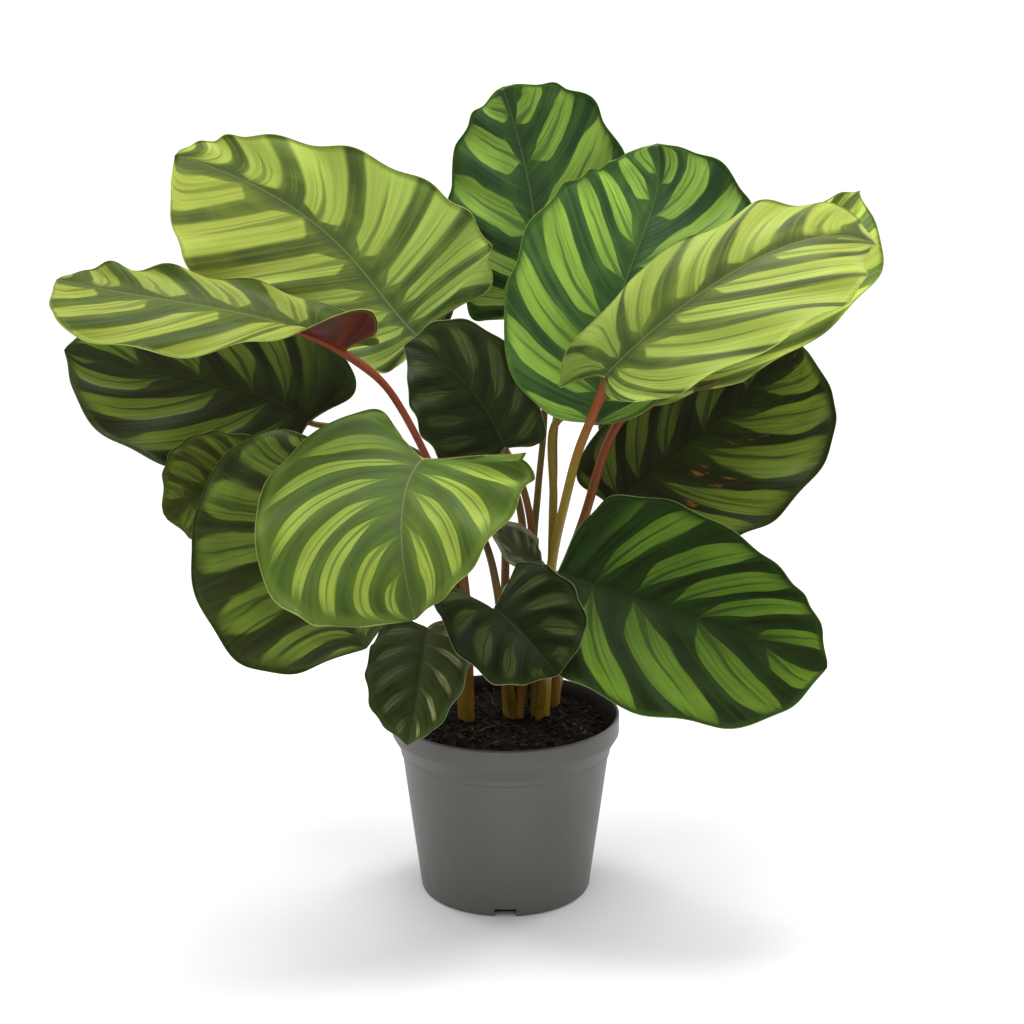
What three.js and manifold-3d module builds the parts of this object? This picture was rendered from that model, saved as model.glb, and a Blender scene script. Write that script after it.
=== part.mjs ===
// Potted calathea: a grey nursery pot 140 mm across, potting soil, four clumps of petioles and twenty striped leaves.
// Millimetres, +Z up, origin at the middle of the pot's flat foot, the front of the plant towards -Y.
import * as THREE from "three";
import { mergeVertices } from "three/addons/utils/BufferGeometryUtils.js";
import Module from "manifold-3d";

const wasm = await Module();
wasm.setup();

// ---- sizes of the pot and soil ----
const RIM_RADIUS = 70;
const POT_HEIGHT = 113.2;
const RIM_BAND = 12.6; // height of the straight band at the top
const COLLAR_TOP = 92.5; // the band slopes in to the collar here
const COLLAR_RADIUS = 64.6;
const COLLAR_BOTTOM = 88.4; // small step from the collar to the tapered wall
const BODY_TOP_RADIUS = 63.7;
const FOOT_RADIUS = 52.4;
const WALL = 1.8;
const FLOOR = 3;
const SOIL_TOP = 104;
const CLEAR = 0.35; // gap that neighbouring pieces keep
const RIB_CLEAR = 0.5; // gap from a midrib to the blade over it
const NOTCH_WIDTH = 13;
const NOTCH_HEIGHT = 5.5;
const NOTCHES = 4;
const CROWN_RADIUS = 7; // the buried rootstock of each clump
const CROWN_BOTTOM = 74;
const HOLE_RADIUS = 7.4; // each crown sits in a hole of this size, cut from the top of the soil
const HOLE_HEIGHT = 80;

// ---- sizes of leaves and petioles ----
const BLADE_THICKNESS = 0.8;
const TIP = 7; // length of the small drawn-out point
const ROWS = 16; // steps along each leaf half
const STRIPS = 3; // steps from midrib to margin
const STALK_FOOT_RADIUS = 3.2;
const STALK_SIDES = 6;
const STALK_STEP = 24; // distance between rings along a petiole
const STALK_SPREAD = 3.4; // petioles leave the crown this far from its middle

// ---- closed meshes ----
function solidOf(geometry) {
  const bare = new THREE.BufferGeometry();
  const loose = geometry.index ? geometry.toNonIndexed() : geometry;
  bare.setAttribute("position", loose.getAttribute("position").clone());
  const merged = mergeVertices(bare, 1e-4);
  return new wasm.Manifold(
    new wasm.Mesh({
      numProp: 3,
      vertProperties: merged.attributes.position.array,
      triVerts: new Uint32Array(merged.index.array),
    }),
  );
}

function geometryOf(solid) {
  const mesh = solid.getMesh();
  const geometry = new THREE.BufferGeometry();
  geometry.setAttribute("position", new THREE.BufferAttribute(mesh.vertProperties, 3));
  geometry.setIndex(new THREE.BufferAttribute(mesh.triVerts, 1));
  geometry.computeVertexNormals();
  return geometry;
}

function indexed(points, faces) {
  const geometry = new THREE.BufferGeometry();
  const flatList = points.flatMap((p) => [p.x, p.y, p.z]);
  geometry.setAttribute("position", new THREE.Float32BufferAttribute(flatList, 3));
  geometry.setIndex(faces);
  geometry.computeVertexNormals();
  return geometry;
}

// A profile of [radius, height] pairs turned round the Z axis.
function turned(profile, segments) {
  const outline = profile.map(([radius, height]) => new THREE.Vector2(radius, height));
  return new THREE.LatheGeometry(outline, segments).rotateX(Math.PI / 2);
}

// ---- pot ----
function makePot() {
  const slope = (BODY_TOP_RADIUS - FOOT_RADIUS) / COLLAR_BOTTOM;
  const outside = [
    [0, 0],
    [36, 0],
    [37.5, 1.2],
    [45, 1.2],
    [46.5, 0],
    [FOOT_RADIUS - 1.2, 0],
    [FOOT_RADIUS + slope * 1.2, 1.2],
    [BODY_TOP_RADIUS, COLLAR_BOTTOM],
    [COLLAR_RADIUS, COLLAR_BOTTOM + 0.6],
    [COLLAR_RADIUS + 0.2, COLLAR_TOP],
    [RIM_RADIUS - 0.6, POT_HEIGHT - RIM_BAND],
    [RIM_RADIUS, POT_HEIGHT - RIM_BAND + 1],
    [RIM_RADIUS, POT_HEIGHT - 0.6],
    [RIM_RADIUS - 0.5, POT_HEIGHT],
  ];
  const inside = [
    [RIM_RADIUS - WALL, POT_HEIGHT],
    [RIM_RADIUS - WALL - 0.2, POT_HEIGHT - RIM_BAND + 0.6],
    [COLLAR_RADIUS - WALL, COLLAR_TOP - 0.4],
    [BODY_TOP_RADIUS - WALL, COLLAR_BOTTOM],
    [FOOT_RADIUS + slope * FLOOR - WALL, FLOOR],
    [0, FLOOR],
  ];
  let pot = solidOf(turned([...outside, ...inside], 48));
  for (let i = 0; i < NOTCHES; i++) {
    const notch = new THREE.BoxGeometry(NOTCH_WIDTH, 12, NOTCH_HEIGHT * 2);
    notch.translate(0, -(FOOT_RADIUS - 1), 0).rotateZ((i * 2 * Math.PI) / NOTCHES);
    pot = pot.subtract(solidOf(notch));
  }
  return pot;
}

function makeSoil(crowns) {
  const slope = (BODY_TOP_RADIUS - FOOT_RADIUS) / COLLAR_BOTTOM;
  const inner = WALL + CLEAR;
  const profile = [
    [0, FLOOR + CLEAR],
    [FOOT_RADIUS + slope * (FLOOR + CLEAR) - inner, FLOOR + CLEAR],
    [BODY_TOP_RADIUS - inner, COLLAR_BOTTOM - 0.4],
    [COLLAR_RADIUS - inner, COLLAR_TOP],
    [RIM_RADIUS - inner - 0.4, POT_HEIGHT - RIM_BAND + 1.6],
    [RIM_RADIUS - inner - 0.4, SOIL_TOP],
    [0, SOIL_TOP],
  ];
  let soil = solidOf(turned(profile, 48));
  for (const [x, y] of crowns) {
    const hole = new THREE.CylinderGeometry(HOLE_RADIUS, HOLE_RADIUS, HOLE_HEIGHT, 20).rotateX(Math.PI / 2);
    hole.translate(x, y, CROWN_BOTTOM - CLEAR + HOLE_HEIGHT / 2);
    soil = soil.subtract(solidOf(hole));
  }
  return soil;
}

// ---- leaf form ----
// A leaf is bent round its midrib, a curve through four points. Each half swells from the midrib by a sine
// outline, with a lobe at the base, and folds, bends and waves out of the midrib's plane.
const vec = (p) => new THREE.Vector3(p[0], p[1], p[2]);
const mix = (a, b, t) => a + (b - a) * t;
const clamp = (x, low, high) => Math.min(Math.max(x, low), high);

function ribPoint(leaf, u) {
  const weights = [
    -4.5 * (u - 1 / 3) * (u - 2 / 3) * (u - 1),
    13.5 * u * (u - 2 / 3) * (u - 1),
    -13.5 * u * (u - 1 / 3) * (u - 1),
    4.5 * u * (u - 1 / 3) * (u - 2 / 3),
  ];
  const point = new THREE.Vector3();
  leaf.rib.forEach((p, i) => point.addScaledVector(vec(p), weights[i]));
  return point;
}

function ribLength(leaf) {
  let length = 0;
  for (let i = 0; i < 100; i++) {
    length += ribPoint(leaf, i / 100).distanceTo(ribPoint(leaf, (i + 1) / 100));
  }
  return length;
}

// Tangent along the midrib, the leaf's upward normal and the direction to its right half.
function ribFrame(leaf, u) {
  const step = 0.001;
  const ahead = ribPoint(leaf, Math.min(u + step, 1));
  const tangent = ahead.sub(ribPoint(leaf, Math.max(u - step, 0))).normalize();
  const normal = vec(leaf.face[0]).lerp(vec(leaf.face[1]), u);
  normal.addScaledVector(tangent, -normal.dot(tangent)).normalize();
  const right = new THREE.Vector3().crossVectors(tangent, normal);
  return { tangent, normal, right };
}

// Place in the flat leaf of the point a fraction t along the outline and v of the way out from the midrib.
function flatPoint(leaf, k, length, t, v) {
  const s = Math.max(Math.sin(Math.PI * t), 0);
  const c = Math.cos(Math.PI * t);
  const blunt = 0.68 + (leaf.blunt[k] - 0.62) * clamp((t - 0.5) * 2, 0, 1);
  const edgeX = leaf.half[k] * s ** blunt * (1 - leaf.wide[k] * c);
  const lobe = leaf.lobe[k] * length * Math.max(Math.sin(Math.PI * Math.min(t / 0.36, 1)), 0) ** 1.5;
  const edgeY = (length - TIP) * (0.5 - 0.5 * c) + TIP * Math.exp(-(1 - t) / 0.045) - lobe;
  const midY = length * t * t;
  const bowX = 0.55 * edgeX;
  const bowY = midY + (edgeY - midY) * 0.3;
  const x = 2 * v * (1 - v) * bowX + v * v * edgeX;
  const y = (1 - v) ** 2 * midY + 2 * v * (1 - v) * bowY + v * v * edgeY;
  return [x, y];
}

function leafPoint(leaf, k, length, t, v) {
  const side = k === 0 ? -1 : 1;
  const [x, y] = flatPoint(leaf, k, length, t, v);
  const u = clamp(y / length, 0, 1);
  const { tangent, normal, right } = ribFrame(leaf, u);
  const point = ribPoint(leaf, u).addScaledVector(tangent, y - u * length);
  const ease = (1 - u) ** leaf.ease;
  const fold = THREE.MathUtils.degToRad(mix(leaf.fold[k][1], leaf.fold[k][0], ease));
  let bend = THREE.MathUtils.degToRad(mix(leaf.bend[k][1], leaf.bend[k][0], ease));
  if (Math.abs(bend) < 1e-4) bend = 1e-4;
  const curl = bend / leaf.half[k];
  const angle = fold + curl * x;
  point.addScaledVector(right, (side * (Math.sin(angle) - Math.sin(fold))) / curl);
  point.addScaledVector(normal, (Math.cos(fold) - Math.cos(angle)) / curl);
  const [count, height, phase] = leaf.wave;
  const wave = height * v * v * Math.sin(2 * Math.PI * count * t + phase + 1.3 * k);
  const fade = Math.sqrt(Math.max(Math.sin(Math.PI * t), 0));
  point.addScaledVector(right, -side * Math.sin(angle) * wave * fade);
  point.addScaledVector(normal, Math.cos(angle) * wave * fade);
  return point;
}

// The blade as a thin closed body: one grid of points, split alike on the upper and lower face.
function makeBlade(leaf) {
  const rows = leaf.rows;
  const length = ribLength(leaf);
  const width = 2 * STRIPS + 1;
  const middle = [leafPoint(leaf, 0, length, 0, 0)];
  for (let i = 1; i < rows; i++) {
    for (let j = -STRIPS; j <= STRIPS; j++) {
      middle.push(leafPoint(leaf, j < 0 ? 0 : 1, length, i / rows, Math.abs(j) / STRIPS));
    }
  }
  middle.push(leafPoint(leaf, 0, length, 1, 0));
  const at = (i, j) => 1 + (i - 1) * width + j;
  const tip = middle.length - 1;
  const top = [];
  for (let j = 0; j < width - 1; j++) {
    top.push([0, at(1, j + 1), at(1, j)]);
    for (let i = 1; i < rows - 1; i++) {
      const [a, b, c, d] = [at(i, j), at(i, j + 1), at(i + 1, j + 1), at(i + 1, j)];
      if (j < STRIPS) top.push([a, b, c], [a, c, d]);
      else top.push([a, b, d], [b, c, d]);
    }
    top.push([at(rows - 1, j), at(rows - 1, j + 1), tip]);
  }
  const normals = middle.map(() => new THREE.Vector3());
  for (const [a, b, c] of top) {
    const one = middle[b].clone().sub(middle[a]);
    const other = middle[c].clone().sub(middle[a]);
    const area = one.cross(other);
    for (const corner of [a, b, c]) normals[corner].add(area);
  }
  normals.forEach((n) => n.normalize());
  const half = BLADE_THICKNESS / 2;
  const count = middle.length;
  const points = [
    ...middle.map((p, i) => p.clone().addScaledVector(normals[i], half)),
    ...middle.map((p, i) => p.clone().addScaledVector(normals[i], -half)),
  ];
  const faces = [];
  for (const [a, b, c] of top) faces.push(a, b, c, count + a, count + c, count + b);
  const rim = [0];
  for (let i = 1; i < rows; i++) rim.push(at(i, width - 1));
  rim.push(tip);
  for (let i = rows - 1; i > 0; i--) rim.push(at(i, 0));
  rim.forEach((a, i) => {
    const b = rim[(i + 1) % rim.length];
    faces.push(a, count + a, b, b, count + a, count + b);
  });
  return indexed(points, faces);
}

// ---- petioles ----
// A closed tube through a list of points with a radius at each.
function tube(points, radii, sides) {
  const rings = [];
  let across = new THREE.Vector3(1, 0, 0);
  points.forEach((p, i) => {
    const ahead = points[Math.min(i + 1, points.length - 1)];
    const along = ahead.clone().sub(points[Math.max(i - 1, 0)]).normalize();
    across = across.clone().addScaledVector(along, -across.dot(along)).normalize();
    const other = new THREE.Vector3().crossVectors(along, across);
    const ring = [];
    for (let j = 0; j < sides; j++) {
      const angle = (j * 2 * Math.PI) / sides;
      ring.push(
        p
          .clone()
          .addScaledVector(across, Math.cos(angle) * radii[i])
          .addScaledVector(other, Math.sin(angle) * radii[i]),
      );
    }
    rings.push(ring);
  });
  const list = rings.flat();
  const faces = [];
  for (let i = 0; i < points.length - 1; i++) {
    for (let j = 0; j < sides; j++) {
      const a = i * sides + j;
      const b = i * sides + ((j + 1) % sides);
      faces.push(a, b, b + sides, a, b + sides, a + sides);
    }
  }
  const last = list.length - sides;
  for (let j = 1; j < sides - 1; j++) {
    faces.push(0, j + 1, j, last, last + j, last + j + 1);
  }
  return indexed(list, faces);
}

// The petiole from the buried crown to the leaf's base, and on under the blade as its midrib.
function makeStalk(leaf, crown) {
  const under = BLADE_THICKNESS / 2 + RIB_CLEAR;
  const topRadius = leaf.stalkRadius;
  const base = ribPoint(leaf, 0);
  const { normal } = ribFrame(leaf, 0);
  const foot = new THREE.Vector3(crown[0], crown[1], CROWN_BOTTOM + 6);
  const lean = vec(leaf.stalk[0]).sub(foot).setZ(0).normalize();
  const exit = foot.clone().addScaledVector(lean, STALK_SPREAD).setZ(SOIL_TOP + 2);
  const route = [foot, exit];
  for (const p of leaf.stalk) route.push(vec(p));
  route.push(base.clone().addScaledVector(normal, -under - topRadius));
  const curve = new THREE.CatmullRomCurve3(route, false, "centripetal");
  const steps = Math.max(6, Math.round(curve.getLength() / STALK_STEP));
  const points = [];
  const radii = [];
  for (let i = 0; i < steps; i++) {
    const s = i / steps;
    points.push(curve.getPointAt(s));
    radii.push(topRadius + (STALK_FOOT_RADIUS - topRadius) * (1 - s) ** 2);
  }
  for (const u of [0, 0.15, 0.35, 0.6, 0.85]) {
    const radius = mix(topRadius, 0.7, u ** 0.7);
    const frame = ribFrame(leaf, u);
    points.push(ribPoint(leaf, u).addScaledVector(frame.normal, -under - radius));
    radii.push(radius);
  }
  return solidOf(tube(points, radii, STALK_SIDES));
}

function makeShoot(crown, leaves) {
  const root = new THREE.CylinderGeometry(CROWN_RADIUS, CROWN_RADIUS - 2, SOIL_TOP - CROWN_BOTTOM, 16);
  root.rotateX(Math.PI / 2).translate(crown[0], crown[1], (SOIL_TOP + CROWN_BOTTOM) / 2);
  let shoot = solidOf(root);
  for (const leaf of leaves) shoot = shoot.add(makeStalk(leaf, crown));
  return shoot;
}

// ---- the plant ----
// rib: four points on the midrib from base to tip; half: width of the left and right half;
// face: direction that the upper side looks, at the base and at the tip; fold and bend: degrees at base and tip;
// stalk: points that the petiole passes on its way up from the soil.
const plain = {
  fold: [[10, 10], [10, 10]],
  bend: [[10, 10], [10, 10]],
  wave: [5, 3, 0],
  lobe: [0.1, 0.1],
  wide: [0, 0],
  blunt: [0.72, 0.72],
  ease: 1.5,
  rows: ROWS,
};

const leaves = {
  upper_left: {
    rib: [[-52, 32, 340], [-81, 44, 372], [-123, 58, 411], [-200, 62, 446]],
    half: [68, 63],
    face: [[-0.1, -0.85, 0.5], [-0.2, -0.8, 0.6]],
    fold: [[10, 0], [10, 10]],
    bend: [[-10, -5], [0, 0]],
    wave: [5, 4, 0],
    lobe: [0.06, 0.12],
    wide: [0.35, -0.5],
    blunt: [0.4, 0.5],
    stalk: [[0, 20, 178], [-3, 24, 241], [-30, 28, 303]],
    stalkRadius: 2,
    colour: 0x9db24c,
  },
  left: {
    rib: [[-90, -45, 345], [-135, -55, 365], [-191, -62, 377], [-250, -50, 386]],
    half: [47, 26],
    face: [[0, -0.4, 0.9], [-0.1, -0.4, 0.9]],
    fold: [[90, 0], [40, 10]],
    bend: [[30, -10], [0, 0]],
    lobe: [0.1, 0.14],
    wide: [0.2, 0.05],
    blunt: [0.62, 0.65],
    ease: 4,
    stalk: [[-24, 4, 183], [-32, -8, 237], [-58, -30, 305], [-72, -40, 328]],
    stalkRadius: 2.2,
    colour: 0x8fae45,
  },
  left_under: {
    rib: [[-117, 5, 293], [-153, 0, 313], [-203, -3, 325], [-259, -2, 338]],
    half: [56, 52],
    face: [[0, -0.95, 0.3], [0, -0.95, 0.3]],
    wide: [0, -0.1],
    blunt: [0.85, 0.72],
    stalk: [[-5, 8, 188], [-14, 4, 224], [-39, 4, 265], [-81, 10, 286]],
    stalkRadius: 1.8,
    colour: 0x3d5a2a,
  },
  top: {
    rib: [[18, 52, 349], [19, 70, 394], [12, 90, 438], [-2, 104, 485]],
    half: [54, 60],
    face: [[0, -0.95, 0.3], [0, -0.95, 0.3]],
    wave: [6, 3, 0],
    wide: [-0.15, 0.1],
    blunt: [0.6, 0.5],
    stalk: [[17, 24, 209], [20, 30, 246], [24, 46, 297]],
    stalkRadius: 1.9,
    colour: 0x4f8530,
  },
  upper_right: {
    rib: [[54, 8, 292], [70, 26, 369], [88, 50, 413], [92, 66, 453]],
    half: [63, 72],
    face: [[-0.1, -0.9, 0.3], [0, -0.9, 0.3]],
    wave: [6, 3, 0],
    lobe: [0, -0.06],
    wide: [-0.35, -0.12],
    blunt: [0.3, 0.8],
    stalk: [[28, 8, 195], [29, 8, 245], [30, 12, 291], [42, 13, 298]],
    stalkRadius: 2.4,
    colour: 0x5e9a38,
  },
  right: {
    rib: [[57, -32, 327], [92, -46, 364], [151, -42, 401], [211, -22, 402]],
    half: [36, 55],
    face: [[-0.2, -0.7, 0.65], [-0.1, -0.7, 0.7]],
    fold: [[45, 8], [8, 4]],
    bend: [[-42, -38], [-8, 0]],
    lobe: [0.26, -0.03],
    wide: [0.1, 0.2],
    blunt: [0.72, 1.2],
    stalk: [[28, 4, 205], [36, -4, 248], [43, -15, 280], [53, -22, 308]],
    stalkRadius: 2.7,
    colour: 0xa3b653,
  },
  right_behind: {
    rib: [[86, 25, 300], [136, 38, 343], [182, 47, 390], [214, 52, 426]],
    half: [25, 44],
    face: [[0.1, -0.7, 0.6], [0.1, -0.7, 0.6]],
    lobe: [0.1, -0.1],
    wide: [-0.35, 0.5],
    blunt: [0.9, 1.6],
    stalk: [[40, 22, 202], [49, 17, 235], [62, 15, 279], [71, 17, 294]],
    stalkRadius: 2.8,
    colour: 0x8ba548,
  },
  right_dark: {
    rib: [[65, 25, 236], [102, 34, 265], [140, 42, 295], [179, 50, 335]],
    half: [48, 72],
    face: [[0.1, -0.8, 0.5], [0.1, -0.8, 0.5]],
    lobe: [0.08, 0.03],
    wide: [0, 0.05],
    blunt: [0.7, 0.5],
    stalk: [[40, 30, 175], [52, 28, 214]],
    stalkRadius: 2.4,
    colour: 0x33481f,
  },
  lower_right: {
    rib: [[31, -25, 209], [78, -50, 199], [131, -72, 187], [183, -85, 170]],
    half: [58, 72],
    face: [[0.1, -0.8, 0.6], [0.2, -0.9, 0.5]],
    lobe: [0.03, 0],
    wide: [-0.3, -0.05],
    stalk: [[24, 2, 152], [26, -14, 195]],
    stalkRadius: 2.4,
    colour: 0x3c6a26,
  },
  front: {
    rib: [[-46, -60, 286], [-56, -92, 270], [-55, -122, 244], [-48, -132, 213]],
    half: [66, 78],
    face: [[0, -0.3, 0.9], [0, -0.9, 0.3]],
    lobe: [0.19, 0.22],
    wide: [-0.45, 0.2],
    stalk: [[-27, -5, 197], [-31, -36, 251], [-38, -56, 281]],
    stalkRadius: 2.2,
    colour: 0x7f9f4a,
  },
  lower_left: {
    rib: [[-101, -40, 288], [-112, -58, 249], [-101, -72, 213], [-79, -75, 178]],
    half: [60, 70],
    face: [[0, -0.6, 0.6], [0, -0.9, 0.2]],
    lobe: [0.05, 0],
    wide: [0, 0.12],
    blunt: [0.72, 0.9],
    stalk: [[-29, -5, 186], [-50, -22, 240], [-78, -35, 278]],
    stalkRadius: 2,
    colour: 0x486a2c,
  },
  small_left: {
    rib: [[-144, -29, 266], [-161, -37, 264], [-178, -44, 259], [-197, -46, 250]],
    half: [38, 34],
    face: [[0, -0.9, 0.45], [0, -0.9, 0.45]],
    wave: [4, 2, 0],
    blunt: [0.5, 0.5],
    stalk: [[-34, 5, 183], [-63, -4, 229], [-110, -26, 252]],
    stalkRadius: 1.8,
    colour: 0x35501f,
  },
  centre: {
    rib: [[0, 15, 275], [-13, 8, 302], [-33, 4, 326], [-60, 5, 339]],
    half: [45, 34],
    face: [[0, -0.8, 0.5], [0, -0.8, 0.5]],
    wave: [5, 2, 0],
    lobe: [0.12, 0.12],
    stalk: [[17, 12, 209], [11, 13, 250]],
    stalkRadius: 2.2,
    colour: 0x2c3f22,
  },
  small_front: {
    rib: [[-7, -40, 191], [3, -66, 191], [18, -86, 181], [29, -95, 168]],
    half: [40, 44],
    face: [[0, -0.5, 0.8], [0, -0.9, 0.4]],
    fold: [[40, 10], [35, 10]],
    wave: [5, 2, 0],
    lobe: [0.4, 0.4],
    wide: [0, -0.15],
    stalk: [[0, -10, 149], [-4, -28, 179]],
    stalkRadius: 1.8,
    colour: 0x2a3d1f,
  },
  over_rim: {
    rib: [[-46, -20, 173], [-49, -50, 158], [-52, -74, 142], [-56, -86, 123]],
    half: [28, 32],
    face: [[0, -0.6, 0.7], [0, -0.9, 0.3]],
    wave: [5, 1.5, 0],
    wide: [-0.35, -0.1],
    stalk: [[-26, 4, 145], [-34, -8, 172]],
    stalkRadius: 1.6,
    colour: 0x2f4723,
  },
  small_inner: {
    rib: [[22, 2, 208], [12, 0, 212], [1, -2, 223], [-12, -3, 236]],
    half: [12, 14],
    face: [[0, -0.7, 0.7], [0, -0.7, 0.7]],
    wave: [3, 1, 0],
    lobe: [0.05, 0.05],
    stalk: [[23, 8, 150], [24, 4, 195]],
    stalkRadius: 1.4,
    colour: 0x313d2a,
    rows: 10,
  },
  back_left: {
    rib: [[-66, 75, 338], [-93, 112, 370], [-122, 150, 386], [-152, 186, 381]],
    half: [50, 52],
    face: [[-0.2, 0.2, 0.9], [-0.3, 0.4, 0.8]],
    stalk: [[12, 36, 199], [4, 46, 248], [-31, 60, 302]],
    stalkRadius: 2,
    colour: 0x3d5f28,
  },
  back_right: {
    rib: [[61, 72, 338], [86, 110, 364], [114, 150, 378], [141, 190, 374]],
    half: [54, 50],
    face: [[0.1, 0.2, 0.9], [0.2, 0.4, 0.8]],
    stalk: [[29, 44, 197], [30, 52, 247], [33, 60, 290]],
    stalkRadius: 2.2,
    colour: 0x5a8a36,
  },
  back_low_right: {
    rib: [[91, 66, 269], [120, 115, 279], [146, 150, 272], [167, 175, 246]],
    half: [50, 50],
    face: [[0.1, 0.4, 0.9], [0.3, 0.8, 0.5]],
    stalk: [[44, 40, 172], [66, 53, 234]],
    stalkRadius: 2.2,
    colour: 0x3a5a26,
  },
  back_low_left: {
    rib: [[-66, 50, 234], [-93, 85, 239], [-122, 115, 225], [-146, 140, 191]],
    half: [50, 46],
    face: [[-0.1, 0.4, 0.9], [-0.3, 0.8, 0.5]],
    stalk: [[-31, 28, 176], [-44, 38, 218]],
    stalkRadius: 1.8,
    colour: 0x3a5a26,
  },
};

const shoots = {
  left: {
    crown: [-23, 14],
    leaves: ["left", "lower_left", "front", "small_left", "over_rim", "back_low_left"],
    colour: 0x7a4a2a,
  },
  middle: {
    crown: [5, 16],
    leaves: ["left_under", "upper_left", "centre", "small_front", "back_left"],
    colour: 0x4a3a22,
  },
  right: {
    crown: [21, 15],
    leaves: ["right", "upper_right", "top", "lower_right", "small_inner"],
    colour: 0x80682c,
  },
  back: {
    crown: [27, 33],
    leaves: ["right_behind", "right_dark", "back_right", "back_low_right"],
    colour: 0x8a4230,
  },
};

// ---- scene ----
const plant = new THREE.Group();

function place(name, geometry, look) {
  const mesh = new THREE.Mesh(geometry, new THREE.MeshStandardMaterial(look));
  mesh.name = name;
  plant.add(mesh);
}

const crowns = Object.values(shoots).map((shoot) => shoot.crown);
place("pot", geometryOf(makePot()), { color: 0x5f605c, roughness: 0.55, metalness: 0 });
place("soil", geometryOf(makeSoil(crowns)), { color: 0x1a1410, roughness: 0.95, metalness: 0 });

for (const [name, shoot] of Object.entries(shoots)) {
  const own = shoot.leaves.map((key) => ({ ...plain, ...leaves[key] }));
  place("shoot_" + name, geometryOf(makeShoot(shoot.crown, own)), {
    color: shoot.colour,
    roughness: 0.5,
    metalness: 0,
  });
}

for (const [name, leaf] of Object.entries(leaves)) {
  place("leaf_" + name, makeBlade({ ...plain, ...leaf }), {
    color: leaf.colour,
    roughness: 0.45,
    metalness: 0,
    side: THREE.FrontSide,
  });
}

export default plant;
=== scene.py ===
"""Potted calathea: the looks. Sizes are in millimetres until a mesh is made, and then in metres."""

import itertools
import math
import random

import bpy
import numpy as np
from mathutils import Euler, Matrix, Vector


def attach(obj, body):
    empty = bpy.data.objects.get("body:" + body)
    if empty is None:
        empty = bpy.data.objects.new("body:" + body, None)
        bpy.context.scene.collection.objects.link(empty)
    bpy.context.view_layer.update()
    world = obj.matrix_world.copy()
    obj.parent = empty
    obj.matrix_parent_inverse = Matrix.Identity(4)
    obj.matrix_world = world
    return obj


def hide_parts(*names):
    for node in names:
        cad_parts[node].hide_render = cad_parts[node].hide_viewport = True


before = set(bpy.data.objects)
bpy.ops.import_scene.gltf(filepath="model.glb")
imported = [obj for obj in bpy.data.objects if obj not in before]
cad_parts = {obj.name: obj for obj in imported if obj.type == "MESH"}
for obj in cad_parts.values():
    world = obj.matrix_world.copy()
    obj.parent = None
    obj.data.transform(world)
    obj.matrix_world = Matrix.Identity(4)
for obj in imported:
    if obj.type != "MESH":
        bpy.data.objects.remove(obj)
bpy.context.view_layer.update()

MM = 0.001
FULL_TURN = 2 * math.pi

# ---- sizes, as in the part ----
RIM_RADIUS = 70
POT_HEIGHT = 113.2
RIM_BAND = 12.6
COLLAR_TOP = 92.5
COLLAR_RADIUS = 64.6
COLLAR_BOTTOM = 88.4
BODY_TOP_RADIUS = 63.7
FOOT_RADIUS = 52.4
WALL = 1.8
FLOOR = 3
SOIL_TOP = 104
NOTCH_WIDTH = 13
NOTCH_HEIGHT = 5.5
NOTCHES = 4
CROWN_BOTTOM = 74
STALK_FOOT_RADIUS = 3.2
STALK_SPREAD = 3.4
TIP = 7

# ---- sizes that only show up close ----
BODY_SLOPE = (BODY_TOP_RADIUS - FOOT_RADIUS) / COLLAR_BOTTOM
BAND_BOTTOM = POT_HEIGHT - RIM_BAND
POT_ROUNDING = 0.6
FOOT_EDGE = 1.2
RECESS = (36, 46.5)  # radii of the ring that is sunk into the pot's underside
RECESS_DEPTH = 1.2
NOTCH_DEPTH = 12
SOIL_GAP = 0.35  # between the soil and the pot
SOIL_EDGE = RIM_RADIUS - WALL - SOIL_GAP - 0.4
CHIPS = 700
BLADE_THICKNESS = 0.7
BLADE_RIM = 0.25  # how far the rounded rim stands out past the blade's last row
GROOVE = 0.6  # depth of the groove along the midrib
GROOVE_WIDTH = 2.2
RIB_SUNK = 0.15  # the midrib's top lies this far under the middle of the blade
RIB_END_RADIUS = 0.35
RIB_END = 0.97  # where the midrib ends, as a share of the leaf's length

# ---- fineness ----
ROWS = 120
STRIPS = 18
STALK_SIDES = 14
STALK_STEPS = 64
CURVE_STEPS = 30
RIB_STEPS = 30
POT_SEGMENTS = 160
SOIL_SPOKES = 150
SOIL_RINGS = 54

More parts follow.
